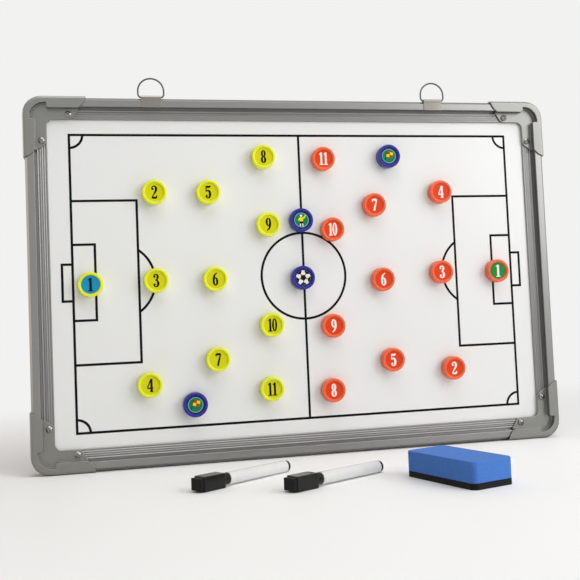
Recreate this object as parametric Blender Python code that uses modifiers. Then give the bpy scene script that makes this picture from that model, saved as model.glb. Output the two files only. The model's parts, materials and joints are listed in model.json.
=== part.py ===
"""Magnetic football tactics board with its counters, two pens and an eraser.

The board stands upright on a table and faces -Y, with X to the right and +Z up.
The origin is on the table in the middle of the whole set.  Sizes are millimetres
until the meshes are made, which are in metres.
"""
import math

import bmesh
import bpy
from mathutils import Matrix, Vector

MM = 0.001

# Clearance between pieces that touch
GAP = 0.3

# Board outside, over the corner caps
BOARD_WIDTH = 450.0
BOARD_HEIGHT = 300.0

# Sheets of the panel, from the writing face to the back
FACE_THICK = 0.4
CORE_THICK = 4.1
BACK_THICK = 0.4

# Rail extrusion: u runs in from the rail's outer edge, v runs back from its front
RAIL_WIDTH = 17.1
RAIL_BAND = 7.5
RAIL_STEP = 5.0
RAIL_WALL = 1.1
RAIL_CHAMFER = 2.0
RAIL_STEP_ROUND = 0.5
RAIL_BACK_CHAMFER = 1.0
FLANGE_THICK = 1.2
REAR_LIP = 5.1
RIB_COUNT = 5
RIB_PITCH = 1.75
RIB_DEPTH = 0.35
RIB_CREST = 0.8
RIB_CROWN = 0.1

# Moulded corner cap
CAP_WALL = 1.0
CAP_STEP_WALL = 0.8
CAP_RADIUS = 15.0
CAP_INNER_RADIUS = 5.5
CAP_ARM_OUTER = 49.6
CAP_ARM_INNER = 36.4
CAP_BACK_CHAMFER = 0.8
CAP_RECESS_BAND = 5.5
CAP_RECESS_END = 18.8
CAP_RECESS_ROUND = 1.5

# S-shaped end of an arm, as shares of the cap's width and of the slant from outer to inner edge
CAP_END = ((0.0, 0.0), (0.14, 0.03), (0.27, 0.10), (0.39, 0.22), (0.46, 0.33), (0.51, 0.42),
           (0.59, 0.50), (0.76, 0.64), (0.90, 0.765), (0.96, 0.855), (1.0, 1.0))

# Pan-head screws of the caps
SCREW_ALONG = 35.6
SCREW_INSET = 14.4
SCREW_HEAD_RADIUS = 2.6
SCREW_HEAD_HEIGHT = 1.6
SCREW_SHANK_RADIUS = 1.2
SCREW_LENGTH = 7.0
SCREW_TIP = 1.2

# Hanger clips and their wire rings
CLIP_CENTRES = {"left": -123.3, "right": 120.7}
CLIP_WIDTH = 16.3
CLIP_SHEET = 0.6
CLIP_FRONT_DROP = 7.7
CLIP_BACK_DROP = 9.0
RING_WIRE_RADIUS = 0.7
RING_PLAY = 0.25
RING_WIDTH = 22.3
RING_HEIGHT = 16.5
RING_CORNER = 3.0

# Magnetic counters
COUNTER_RADIUS = 10.0
COUNTER_HEIGHT = 7.2
COUNTER_RIM = 1.8
COUNTER_DISH = 0.8
COUNTER_ROUND = 0.7
PITCH_SIDE_MARGIN = 35.5
PITCH_TOP_MARGIN = 30.5

# Places of the counters, as shares of the pitch's half width and half height
YELLOW_PLACES = (
    (-0.928, -0.017), (-0.650, 0.597), (-0.654, -0.004), (-0.695, -0.705), (-0.418, 0.595),
    (-0.401, -0.007), (-0.401, -0.557), (-0.168, 0.840), (-0.158, 0.363), (-0.158, -0.338),
    (-0.170, -0.779))
ORANGE_PLACES = (
    (0.919, -0.012), (0.678, -0.706), (0.643, -0.007), (0.656, 0.579), (0.389, -0.623),
    (0.360, -0.047), (0.335, 0.490), (0.106, -0.813), (0.119, -0.363), (0.134, 0.320),
    (0.105, 0.825))
BLUE_PLACES = {
    "ball": (-0.011, -0.017), "official": (-0.008, 0.389),
    "flag_left": (-0.506, -0.854), "flag_right": (0.414, 0.842)}

# Pens: lengths run from the front of the cap's block to the tail
PEN_BLOCK = (19.5, 11.0, 10.3)
PEN_BLOCK_ROUND = 0.8
PEN_PAD = (3.5, 9.6, 8.3)
PEN_COLLAR_RADIUS = 4.1
PEN_COLLAR_LENGTH = 6.0
PEN_CAP_FLOOR = 3.0
PEN_BARREL_RADIUS = 4.35
PEN_BARREL_LENGTH = 58.5
PEN_BARREL_WALL = 0.85
PEN_NECK_RADIUS = 3.0
PEN_NECK_LENGTH = 16.5
PEN_NIB_RADIUS = 1.2
PEN_NIB_REACH = 4.5
PEN_SHOULDER = 1.8
PEN_PLUG_RADIUS = 4.1
PEN_PLUG_LENGTH = 2.7
PEN_PLUG_CHAMFER = 0.7
PEN_PLUG_STUB = 3.5

# Eraser: length, width and the two layers
ERASER_LENGTH = 70.0
ERASER_WIDTH = 35.0
ERASER_ROUND = 4.5
ERASER_FELT = 4.0
ERASER_FOAM = 13.7

# What stands before the board: distances from the middle of its front, and headings in degrees
PEN_1_ACROSS = -106.4
PEN_1_FORWARD = 110.3
PEN_1_HEADING = 35.1
PEN_2_ACROSS = -47.8
PEN_2_FORWARD = 136.4
PEN_2_HEADING = 30.5
ERASER_ACROSS = 66.7
ERASER_FORWARD = 143.0
ERASER_HEADING = -72.0

# Sides of turned pieces and segments in a quarter turn of an outline
COUNTER_SIDES = 20
PEN_SIDES = 16
SCREW_SIDES = 10
HOLE_SIDES = 8
ARC_STEPS = 5

# Sizes that follow: the cap holds the rail, the rail holds the panel
SCREW_HOLE_RADIUS = SCREW_SHANK_RADIUS + GAP
RAIL_INSET = CAP_WALL + GAP
PANEL_THICK = FACE_THICK + CORE_THICK + BACK_THICK + 2 * GAP
RAIL_DEPTH = RAIL_STEP + FLANGE_THICK + PANEL_THICK + 2 * GAP + FLANGE_THICK
SLOT_FLOOR = RAIL_BAND + RAIL_WALL
FACE_DEPTH = RAIL_INSET + RAIL_STEP + FLANGE_THICK + GAP
CORE_DEPTH = FACE_DEPTH + FACE_THICK + GAP
BACK_DEPTH = CORE_DEPTH + CORE_THICK + GAP
PANEL_INSET = RAIL_INSET + SLOT_FLOOR + GAP
CAP_DEPTH = RAIL_DEPTH + 2 * RAIL_INSET
CAP_WIDTH = RAIL_INSET + RAIL_WIDTH
CAP_FLANGE_DEPTH = RAIL_INSET + RAIL_STEP - GAP - CAP_WALL
CAP_BAND = RAIL_INSET + RAIL_BAND + GAP + CAP_STEP_WALL
CAP_CHAMFER = 2 * RAIL_INSET + RAIL_CHAMFER - RAIL_INSET * math.sqrt(2)
RAIL_CUT = CAP_RECESS_END + CAP_RECESS_ROUND + CAP_STEP_WALL + GAP
CLIP_BEND = RING_WIRE_RADIUS + RING_PLAY + CLIP_SHEET / 2
CLIP_OFFSET = GAP + CLIP_SHEET / 2
RING_HEIGHT_ON_BOARD = BOARD_HEIGHT - RAIL_INSET + CLIP_OFFSET
RING_DEPTH_ON_BOARD = RAIL_INSET - CLIP_OFFSET + CLIP_BEND
PITCH_WIDTH = BOARD_WIDTH - 2 * PITCH_SIDE_MARGIN
PITCH_HEIGHT = BOARD_HEIGHT - 2 * PITCH_TOP_MARGIN

# Turns that lay a flat outline upright, run a profile along X, and point a turned piece at -Y
UPRIGHT = Matrix.Rotation(math.radians(90), 4, "X")
ALONG_X = Matrix.Rotation(math.radians(-90), 4, "Y")


def clear_scene():
    """Remove every object of the startup scene."""
    for obj in list(bpy.data.objects):
        bpy.data.objects.remove(obj, do_unlink=True)


def make_collection(name):
    """Add a collection to the scene."""
    collection = bpy.data.collections.new(name)
    bpy.context.scene.collection.children.link(collection)
    return collection


def make_material(name, hex_colour, roughness, metallic=0.0):
    """Make a Principled material from an sRGB hex colour."""
    channels = [int(hex_colour[i:i + 2], 16) / 255 for i in (1, 3, 5)]
    linear = [c / 12.92 if c <= 0.04045 else ((c + 0.055) / 1.055) ** 2.4 for c in channels]
    material = bpy.data.materials.new(name)
    material.use_nodes = True
    material.diffuse_color = (*linear, 1.0)
    shader = material.node_tree.nodes["Principled BSDF"]
    shader.inputs["Base Color"].default_value = (*linear, 1.0)
    shader.inputs["Roughness"].default_value = roughness
    shader.inputs["Metallic"].default_value = metallic
    return material


def empty(name, at=(0, 0, 0), turn=(0, 0, 0)):
    """Add an empty at a place in millimetres, turned by angles in radians."""
    obj = bpy.data.objects.new(name, None)
    obj.location = Vector(at) * MM
    obj.rotation_euler = turn
    PIECES.objects.link(obj)
    return obj


def piece(name, mesh, material, parent=None, at=(0, 0, 0), turn=(0, 0, 0)):
    """Add a named sub-part; at is in millimetres and turn in radians."""
    obj = bpy.data.objects.new(name, mesh)
    obj.location = Vector(at) * MM
    obj.rotation_euler = turn
    obj.parent = parent
    PIECES.objects.link(obj)
    if not mesh.materials:
        mesh.materials.append(material)
    return obj


def arc(centre, radius, start, stop, steps=ARC_STEPS):
    """Points of an arc, with angles in degrees."""
    angles = [math.radians(start + (stop - start) * i / steps) for i in range(steps + 1)]
    return [(centre[0] + radius * math.cos(a), centre[1] + radius * math.sin(a)) for a in angles]


def circle(centre, radius, sides):
    """Points of a closed circle."""
    return arc(centre, radius, 0, 360, sides)[:-1]


def evaluated_mesh(obj):
    """Return the mesh of an object with its modifiers, and remove the object."""
    view_layer = bpy.context.view_layer
    view_layer.update()
    depsgraph = bpy.context.evaluated_depsgraph_get()
    mesh = bpy.data.meshes.new_from_object(obj.evaluated_get(depsgraph))
    mesh.name = obj.name
    bpy.data.objects.remove(obj, do_unlink=True)
    return mesh


def cutter(name, mesh):
    """Add an object that only cuts others."""
    obj = bpy.data.objects.new(name, mesh)
    obj.hide_render = True
    obj.display_type = "WIRE"
    CUTTERS.objects.link(obj)
    return obj


def prism(name, outlines, low, high, matrix=Matrix()):
    """Extrude closed outlines from low to high along Z; inner outlines leave holes."""
    curve = bpy.data.curves.new(name, "CURVE")
    curve.dimensions = "2D"
    curve.fill_mode = "BOTH"
    curve.extrude = (high - low) / 2 * MM
    for points in outlines:
        spline = curve.splines.new("POLY")
        spline.points.add(len(points) - 1)
        for point, (x, y) in zip(spline.points, points):
            point.co = (x * MM, y * MM, 0, 1)
        spline.use_cyclic_u = True
    obj = bpy.data.objects.new(name, curve)
    CUTTERS.objects.link(obj)
    mesh = evaluated_mesh(obj)
    bpy.data.curves.remove(curve)
    bm = bmesh.new()
    bm.from_mesh(mesh)
    bmesh.ops.remove_doubles(bm, verts=bm.verts, dist=1e-7)
    bmesh.ops.recalc_face_normals(bm, faces=bm.faces)
    bmesh.ops.translate(bm, verts=bm.verts, vec=(0, 0, (low + high) / 2 * MM))
    bmesh.ops.transform(bm, matrix=matrix, verts=bm.verts)
    bm.to_mesh(mesh)
    bm.free()
    return mesh


def cylinder_mesh(name, radius, low, high, centre, sides, matrix=Matrix()):
    """A cylinder along Z from low to high, then turned by the matrix."""
    mesh = bpy.data.meshes.new(name)
    bm = bmesh.new()
    bmesh.ops.create_cone(bm, cap_ends=True, segments=sides, radius1=radius * MM,
                          radius2=radius * MM, depth=(high - low) * MM)
    middle = Vector((centre[0], centre[1], (low + high) / 2)) * MM
    bmesh.ops.translate(bm, verts=bm.verts, vec=middle)
    bmesh.ops.transform(bm, matrix=matrix, verts=bm.verts)
    bm.to_mesh(mesh)
    bm.free()
    return mesh


def box_mesh(name, low, high):
    """A box between two corners in millimetres."""
    mesh = bpy.data.meshes.new(name)
    size = Vector(high) - Vector(low)
    bm = bmesh.new()
    bmesh.ops.create_cube(bm, size=1.0)
    bmesh.ops.scale(bm, vec=size * MM, verts=bm.verts)
    bmesh.ops.translate(bm, vec=(Vector(low) + size / 2) * MM, verts=bm.verts)
    bm.to_mesh(mesh)
    bm.free()
    return mesh


def combine(mesh, others, operation="DIFFERENCE"):
    """Cut meshes from a mesh, or join them to it, and return the new mesh."""
    name = mesh.name
    obj = cutter(name, mesh)
    helpers = [cutter(other.name, other) for other in others]
    for helper in helpers:
        modifier = obj.modifiers.new(operation.title(), "BOOLEAN")
        modifier.operation = operation
        modifier.object = helper
    result = evaluated_mesh(obj)
    for helper in helpers:
        bpy.data.objects.remove(helper, do_unlink=True)
    result.name = name
    result.materials.clear()
    return result


def turned(name, profile, sides):
    """Turn a profile of (radius, height) points round Z, from its top down its outer side."""
    mesh = bpy.data.meshes.new(name)
    bm = bmesh.new()
    verts = [bm.verts.new((radius * MM, 0, height * MM)) for radius, height in profile]
    pairs = list(zip(verts, verts[1:]))
    if profile[0][0] > 0:
        pairs.append((verts[-1], verts[0]))
    for first, second in pairs:
        bm.edges.new((first, second))
    bm.to_mesh(mesh)
    bm.free()
    obj = bpy.data.objects.new(name, mesh)
    CUTTERS.objects.link(obj)
    screw = obj.modifiers.new("Screw", "SCREW")
    screw.steps = sides
    screw.render_steps = sides
    screw.use_merge_vertices = True
    screw.merge_threshold = 1e-6
    result = evaluated_mesh(obj)
    result.shade_smooth()
    result.set_sharp_from_angle(angle=math.radians(35))
    return result


def screw_places():
    """Places of the cap screws on the board, as (x, z) from its middle."""
    along_top = BOARD_WIDTH / 2 - SCREW_ALONG, BOARD_HEIGHT / 2 - SCREW_INSET
    along_side = BOARD_WIDTH / 2 - SCREW_INSET, BOARD_HEIGHT / 2 - SCREW_ALONG
    corners = {"top_left": (-1, 1), "top_right": (1, 1), "bottom_left": (-1, -1),
               "bottom_right": (1, -1)}
    return {f"screw_{corner}_{side}": (sx * x, sz * z)
            for corner, (sx, sz) in corners.items()
            for side, (x, z) in (("a", along_top), ("b", along_side))}


def make_panel(board):
    """The writing sheet, the core board and the back sheet, each with its screw holes."""
    half_width = BOARD_WIDTH / 2 - PANEL_INSET
    half_height = BOARD_HEIGHT / 2 - PANEL_INSET
    rectangle = [(-half_width, -half_height), (half_width, -half_height),
                 (half_width, half_height), (-half_width, half_height)]
    holes = [circle(place, SCREW_HOLE_RADIUS, HOLE_SIDES) for place in screw_places().values()]
    layers = (("face_sheet", FACE_DEPTH, FACE_THICK, ENAMEL, holes),
              ("core_board", CORE_DEPTH, CORE_THICK, FIBREBOARD, holes),
              ("back_sheet", BACK_DEPTH, BACK_THICK, GALVANISED, []))
    for name, depth, thick, material, openings in layers:
        mesh = prism(name, [rectangle] + openings, -depth - thick, -depth, UPRIGHT)
        piece(name, mesh, material, board)


def flange_front(u):
    """Depth of the flange between its ribs: it is slightly crowned across its width."""
    half = (RAIL_WIDTH - RAIL_BAND) / 2
    share = (u - RAIL_BAND - half) / half
    return RAIL_STEP + RIB_DEPTH - RIB_CROWN * (1 - share * share)


def rail_profile():
    """Outline of the rail with its ribs, and the hollow of its band."""
    flange_back = RAIL_STEP + FLANGE_THICK
    outline = [(0, RAIL_DEPTH - RAIL_BACK_CHAMFER), (0, RAIL_CHAMFER), (RAIL_CHAMFER, 0)]
    outline += arc((RAIL_BAND - RAIL_STEP_ROUND, RAIL_STEP_ROUND), RAIL_STEP_ROUND, -90, 0, 2)
    outline += [(RAIL_BAND, flange_front(RAIL_BAND))]
    for rib in range(RIB_COUNT):
        stop = RAIL_WIDTH - (RIB_COUNT - 1 - rib) * RIB_PITCH
        start = stop - RIB_CREST
        outline += [(start - RIB_DEPTH, flange_front(start - RIB_DEPTH)), (start, RAIL_STEP),
                    (stop - RIB_DEPTH, RAIL_STEP), (stop, flange_front(stop))]
    outline += [(RAIL_WIDTH, flange_back), (SLOT_FLOOR, flange_back)]
    lip_front = RAIL_DEPTH - FLANGE_THICK
    outline += [(SLOT_FLOOR, lip_front), (SLOT_FLOOR + REAR_LIP, lip_front)]
    outline += [(SLOT_FLOOR + REAR_LIP, RAIL_DEPTH), (RAIL_BACK_CHAMFER, RAIL_DEPTH)]
    inner = RAIL_BAND - RAIL_WALL
    bevel = RAIL_CHAMFER / 2
    hollow = [(RAIL_WALL, RAIL_WALL + bevel), (RAIL_WALL + bevel, RAIL_WALL),
              (inner, RAIL_WALL), (inner, RAIL_DEPTH - RAIL_WALL),
              (RAIL_WALL, RAIL_DEPTH - RAIL_WALL)]
    return [outline, hollow]


def rail_mesh(name, side_length):
    """A rail cut to length, drilled near both ends for the cap screws."""
    half = side_length / 2 - RAIL_CUT
    mesh = prism(name, rail_profile(), -half, half)
    reach = side_length / 2 - SCREW_ALONG
    drills = []
    for end in (-reach, reach):
        centre = (SCREW_INSET - RAIL_INSET, end)
        drills.append(cylinder_mesh("drill", SCREW_HOLE_RADIUS, -RAIL_STEP - 2 * FLANGE_THICK,
                                    -RAIL_STEP + FLANGE_THICK, centre, HOLE_SIDES, UPRIGHT))
    return combine(mesh, drills)


def make_rails(board):
    """Four rails, each turned so that its outer edge faces out."""
    long_mesh = rail_mesh("rail_long", BOARD_WIDTH)
    short_mesh = rail_mesh("rail_short", BOARD_HEIGHT)
    out_x = BOARD_WIDTH / 2 - RAIL_INSET
    out_z = BOARD_HEIGHT / 2 - RAIL_INSET
    places = (("rail_left", short_mesh, -out_x, 0, 0), ("rail_top", long_mesh, 0, out_z, 90),
              ("rail_right", short_mesh, out_x, 0, 180),
              ("rail_bottom", long_mesh, 0, -out_z, 270))
    for name, mesh, x, z, angle in places:
        turn = (0, math.radians(angle), 0)
        piece(name, mesh, ALUMINIUM, board, (x, RAIL_INSET, z), turn)


def cap_outline():
    """The cap seen from the front: an L with slanted, S-shaped ends."""
    slant = CAP_ARM_OUTER - CAP_ARM_INNER
    end = [(CAP_ARM_OUTER - slant * along, CAP_WIDTH * across) for across, along in CAP_END]
    centre = CAP_WIDTH + CAP_INNER_RADIUS
    inner = arc((centre, centre), CAP_INNER_RADIUS, 270, 180, ARC_STEPS - 1)
    outer = arc((CAP_RADIUS, CAP_RADIUS), CAP_RADIUS, 180, 270, ARC_STEPS + 1)
    return end + inner + [(y, x) for x, y in reversed(end)] + outer


def cap_step_outline():
    """What lies inside the cap's raised band, with the rounded pocket at the bend."""
    reach = CAP_ARM_OUTER + CAP_WIDTH
    shoulder = CAP_RECESS_END - CAP_RECESS_ROUND
    side = [(reach, CAP_BAND)]
    side += arc((CAP_RECESS_END + CAP_RECESS_ROUND, CAP_BAND - CAP_RECESS_ROUND),
                CAP_RECESS_ROUND, 90, 180, 3)
    side += [(CAP_RECESS_END, CAP_RECESS_BAND)]
    bend = arc((shoulder, shoulder), shoulder - CAP_RECESS_BAND, 270, 180)
    return side + bend + [(y, x) for x, y in reversed(side)] + [(reach, reach)]


def inset(point):
    """How far a point of the cap's front view lies inside its outer edge."""
    x, z = point
    if x < CAP_RADIUS and z < CAP_RADIUS:
        return CAP_RADIUS - math.hypot(CAP_RADIUS - x, CAP_RADIUS - z)
    return min(x, z)


def bevel_outer_edge(bm, depth, width, segments):
    """Bevel the cap's outer edge at a depth behind its front."""
    def on_edge(vert):
        at_depth = abs(-vert.co.z / MM - depth) < 0.001
        return at_depth and abs(inset((vert.co.x / MM, vert.co.y / MM))) < 0.01
    edges = [edge for edge in bm.edges if all(on_edge(vert) for vert in edge.verts)]
    bmesh.ops.bevel(bm, geom=edges, offset=width * MM, segments=segments, profile=0.5,
                    affect="EDGES", material=-1)


def cap_mesh():
    """The bottom left cap, with its corner at the origin and its arms along +X and +Z."""
    mesh = prism("corner_cap", [cap_outline()], -CAP_DEPTH, 0)
    bm = bmesh.new()
    bm.from_mesh(mesh)
    bmesh.ops.dissolve_limit(bm, angle_limit=0.001, verts=bm.verts, edges=bm.edges)
    bevel_outer_edge(bm, 0, CAP_CHAMFER, 2)
    bevel_outer_edge(bm, CAP_DEPTH, CAP_BACK_CHAMFER, 1)
    bmesh.ops.transform(bm, matrix=UPRIGHT, verts=bm.verts)
    bm.to_mesh(mesh)
    bm.free()
    reach = CAP_ARM_OUTER + CAP_WIDTH
    clear = CAP_WALL
    slope = 2 * RAIL_INSET + RAIL_CHAMFER - GAP * math.sqrt(2)
    back = CAP_DEPTH - CAP_WALL
    band = RAIL_INSET + RAIL_BAND + GAP
    flange = CAP_FLANGE_DEPTH + CAP_WALL
    pocket = [(clear, back), (clear, slope - clear), (slope - clear, clear), (band, clear),
              (band, flange), (reach, flange), (reach, back)]
    start = RAIL_CUT - GAP
    panel_low = (PANEL_INSET - GAP, FACE_DEPTH - GAP, PANEL_INSET - GAP)
    panel_high = (reach, BACK_DEPTH + BACK_THICK + GAP, reach)
    cuts = [prism("step", [cap_step_outline()], -CAP_FLANGE_DEPTH, CAP_WALL, UPRIGHT),
            prism("pocket_z", [pocket], start, reach),
            prism("pocket_x", [pocket], -reach, -start, ALONG_X),
            box_mesh("panel_pocket", panel_low, panel_high)]
    for centre in ((SCREW_ALONG, SCREW_INSET), (SCREW_INSET, SCREW_ALONG)):
        cuts.append(cylinder_mesh("screw_hole", SCREW_HOLE_RADIUS, -CAP_FLANGE_DEPTH - 2 * CAP_WALL,
                                  -CAP_FLANGE_DEPTH + CAP_WALL, centre, HOLE_SIDES, UPRIGHT))
    result = combine(mesh, cuts)
    result.shade_smooth()
    result.set_sharp_from_angle(angle=math.radians(25))
    return result


def make_caps(board):
    """Four corner caps, each a quarter turn from the last."""
    mesh = cap_mesh()
    half_x = BOARD_WIDTH / 2
    half_z = BOARD_HEIGHT / 2
    places = (("corner_bottom_left", -half_x, -half_z, 0), ("corner_top_left", -half_x, half_z, 90),
              ("corner_top_right", half_x, half_z, 180),
              ("corner_bottom_right", half_x, -half_z, 270))
    for name, x, z, angle in places:
        piece(name, mesh, GREY_PLASTIC, board, (x, 0, z), (0, math.radians(angle), 0))


def make_screws(board):
    """Pan-head screws, with the origin under the head."""
    head = [(0, SCREW_HEAD_HEIGHT)]
    head += [(SCREW_HEAD_RADIUS * math.cos(math.radians(a)),
              SCREW_HEAD_HEIGHT * math.sin(math.radians(a))) for a in (60, 30, 0)]
    shank = [(SCREW_SHANK_RADIUS, 0), (SCREW_SHANK_RADIUS, SCREW_TIP - SCREW_LENGTH),
             (0, -SCREW_LENGTH)]
    mesh = turned("cap_screw", head + shank, SCREW_SIDES)
    for name, (x, z) in screw_places().items():
        piece(name, mesh, NICKEL, board, (x, CAP_FLANGE_DEPTH - GAP, z), UPRIGHT.to_euler())


def clip_path():
    """The middle of the clip's sheet as (depth, height), from the front plate to the back leg."""
    top = RING_HEIGHT_ON_BOARD - BOARD_HEIGHT / 2
    front = RING_DEPTH_ON_BOARD - CLIP_BEND
    back = CAP_DEPTH - RAIL_INSET + CLIP_OFFSET
    bottom = BOARD_HEIGHT / 2 - RAIL_INSET
    drop = math.degrees(math.asin(CLIP_OFFSET / (CLIP_BEND + CLIP_OFFSET)))
    run = (CLIP_BEND + CLIP_OFFSET) * math.cos(math.radians(drop))
    path = [(front, bottom - CLIP_FRONT_DROP)]
    path += arc((RING_DEPTH_ON_BOARD, top), CLIP_BEND, 180, drop, 8)
    path += arc((RING_DEPTH_ON_BOARD + run, top + CLIP_OFFSET), CLIP_OFFSET, 180 + drop, 270, 2)[1:]
    path += arc((back - CLIP_OFFSET, top - CLIP_OFFSET), CLIP_OFFSET, 90, 0, 3)
    return path + [(back, bottom - CLIP_BACK_DROP)]


def make_clips(board):
    """Sheet-metal clips that wrap the top rail and hold the ring's straight bar."""
    mesh = bpy.data.meshes.new("hanger_clip")
    bm = bmesh.new()
    verts = [bm.verts.new((-CLIP_WIDTH / 2 * MM, y * MM, z * MM)) for y, z in clip_path()]
    edges = [bm.edges.new(pair) for pair in zip(verts, verts[1:])]
    sheet = bmesh.ops.extrude_edge_only(bm, edges=edges)
    moved = [item for item in sheet["geom"] if isinstance(item, bmesh.types.BMVert)]
    bmesh.ops.translate(bm, vec=(CLIP_WIDTH * MM, 0, 0), verts=moved)
    bm.to_mesh(mesh)
    bm.free()
    for side, x in CLIP_CENTRES.items():
        clip = piece(f"hanger_clip_{side}", mesh, CLIP_STEEL, board, (x, 0, 0))
        solidify = clip.modifiers.new("Solidify", "SOLIDIFY")
        solidify.thickness = CLIP_SHEET * MM
        solidify.offset = 0
        solidify.use_even_offset = True


def ring_path():
    """The middle of the ring's wire: a D that stands on its straight bar."""
    half = RING_WIDTH / 2 - RING_WIRE_RADIUS
    bar = half - RING_CORNER
    arch = RING_HEIGHT - RING_WIRE_RADIUS - half
    right = arc((bar, RING_CORNER), RING_CORNER, -90, 0, 4)
    left = arc((-bar, RING_CORNER), RING_CORNER, 180, 270, 4)
    return right + arc((0, arch), half, 0, 180, 14) + left


def make_rings(board):
    """Wire D-rings; each has its origin on the middle of its bar, where it swings."""
    curve = bpy.data.curves.new("hanger_ring", "CURVE")
    curve.dimensions = "3D"
    curve.bevel_depth = RING_WIRE_RADIUS * MM
    curve.bevel_resolution = 2
    points = ring_path()
    spline = curve.splines.new("POLY")
    spline.points.add(len(points) - 1)
    for point, (x, z) in zip(spline.points, points):
        point.co = (x * MM, 0, z * MM, 1)
    spline.use_cyclic_u = True
    curve.materials.append(RING_STEEL)
    height = RING_HEIGHT_ON_BOARD - BOARD_HEIGHT / 2
    for side, x in CLIP_CENTRES.items():
        ring = bpy.data.objects.new(f"hanger_ring_{side}", curve)
        ring.location = Vector((x, RING_DEPTH_ON_BOARD, height)) * MM
        ring.parent = board
        PIECES.objects.link(ring)


def counter_mesh(name):
    """A counter: a thick disc with a raised rim round the place of its label."""
    floor = COUNTER_HEIGHT - COUNTER_DISH
    profile = [(0, floor), (COUNTER_RADIUS - COUNTER_RIM - COUNTER_DISH / 2, floor),
               (COUNTER_RADIUS - COUNTER_RIM, COUNTER_HEIGHT),
               (COUNTER_RADIUS - COUNTER_ROUND, COUNTER_HEIGHT),
               (COUNTER_RADIUS, COUNTER_HEIGHT - COUNTER_ROUND), (COUNTER_RADIUS, 0), (0, 0)]
    return turned(name, profile, COUNTER_SIDES)


def make_counters(board):
    """Counters on the writing face, each with its origin on its axis at its back."""
    places = {f"yellow_counter_{i:02d}": place for i, place in enumerate(YELLOW_PLACES, 1)}
    places.update({f"orange_counter_{i:02d}": place for i, place in enumerate(ORANGE_PLACES, 1)})
    places.update({f"blue_counter_{key}": place for key, place in BLUE_PLACES.items()})
    meshes = {colour: counter_mesh(f"{colour}_counter") for colour in COUNTER_PLASTIC}
    for name, (across, up) in places.items():
        colour = name.split("_")[0]
        at = (across * PITCH_WIDTH / 2, FACE_DEPTH - GAP, up * PITCH_HEIGHT / 2)
        piece(name, meshes[colour], COUNTER_PLASTIC[colour], board, at, UPRIGHT.to_euler())


def pen_cap_mesh():
    """The pen's cap: a block with an eraser pad on its end and a collar, bored from behind."""
    length, width, height = PEN_BLOCK
    block = box_mesh("pen_cap", (-height / 2, -width / 2, 0), (height / 2, width / 2, length))
    bm = bmesh.new()
    bm.from_mesh(block)
    bmesh.ops.bevel(bm, geom=bm.edges[:], offset=PEN_BLOCK_ROUND * MM, segments=2, profile=0.5,
                    affect="EDGES", material=-1)
    bm.to_mesh(block)
    bm.free()
    pad_length, pad_width, pad_height = PEN_PAD
    overlap = PEN_CAP_FLOOR / 2
    pad = box_mesh("pad", (-pad_height / 2, -pad_width / 2, -pad_length),
                   (pad_height / 2, pad_width / 2, overlap))
    mouth = length + PEN_COLLAR_LENGTH
    collar = cylinder_mesh("collar", PEN_COLLAR_RADIUS, length - PEN_CAP_FLOOR, mouth, (0, 0),
                           PEN_SIDES)
    body = combine(block, [pad, collar], "UNION")
    bore = cylinder_mesh("bore", PEN_NECK_RADIUS + GAP, PEN_CAP_FLOOR, mouth + PEN_CAP_FLOOR,
                         (0, 0), PEN_SIDES)
    result = combine(body, [bore])
    result.shade_smooth()
    result.set_sharp_from_angle(angle=math.radians(30))
    return result


def pen_meshes():
    """Turned pieces of the pen, with Z along the pen from the cap to the tail."""
    mouth = PEN_BLOCK[0] + PEN_COLLAR_LENGTH + GAP
    neck = mouth - PEN_NECK_LENGTH
    tail = mouth + PEN_BARREL_LENGTH
    bore = PEN_BARREL_RADIUS - PEN_BARREL_WALL
    throat = PEN_NIB_RADIUS + GAP
    shoulder = mouth + PEN_SHOULDER
    barrel = [(PEN_BARREL_RADIUS, tail), (PEN_BARREL_RADIUS, mouth), (PEN_NECK_RADIUS, mouth),
              (PEN_NECK_RADIUS, neck), (throat, neck), (throat, shoulder), (bore, shoulder),
              (bore, tail)]
    core_end = tail - PEN_PLUG_STUB - GAP
    core = [(0, core_end), (bore - GAP, core_end), (bore - GAP, shoulder + GAP),
            (PEN_NIB_RADIUS, shoulder + GAP), (PEN_NIB_RADIUS, PEN_NIB_REACH + PEN_NIB_RADIUS),
            (0, PEN_NIB_REACH)]
    end = tail + GAP + PEN_PLUG_LENGTH
    plug = [(0, end), (PEN_PLUG_RADIUS - PEN_PLUG_CHAMFER, end),
            (PEN_PLUG_RADIUS, end - PEN_PLUG_CHAMFER), (PEN_PLUG_RADIUS, tail + GAP),
            (bore - GAP, tail + GAP), (bore - GAP, tail - PEN_PLUG_STUB),
            (0, tail - PEN_PLUG_STUB)]
    return {"barrel": (turned("pen_barrel", barrel, PEN_SIDES), WHITE_PLASTIC),
            "ink_core": (turned("pen_ink_core", core, PEN_SIDES), FIBRE),
            "plug": (turned("pen_plug", plug, PEN_SIDES), BLACK_PLASTIC)}


def make_pens(front):
    """Two pens, each resting on its cap's block and the tail end of its barrel."""
    length, _, height = PEN_BLOCK
    barrel_end = length + PEN_COLLAR_LENGTH + GAP + PEN_BARREL_LENGTH
    tilt = math.atan((height / 2 - PEN_BARREL_RADIUS) / (barrel_end - length))
    axis_height = height / 2 * math.cos(tilt) + length * math.sin(tilt)
    cap = pen_cap_mesh()
    turned_pieces = pen_meshes()
    lay = (0, math.radians(90), 0)
    places = (("pen_1", PEN_1_ACROSS, PEN_1_FORWARD, PEN_1_HEADING),
              ("pen_2", PEN_2_ACROSS, PEN_2_FORWARD, PEN_2_HEADING))
    for pen, across, forward, heading in places:
        turn = (0, tilt, math.radians(heading))
        holder = empty(pen, (across, front - forward, axis_height), turn)
        for part, (mesh, material) in turned_pieces.items():
            piece(f"{pen}_{part}", mesh, material, holder, turn=lay)
        piece(f"{pen}_cap", cap, BLACK_PLASTIC, holder, turn=lay)


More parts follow.
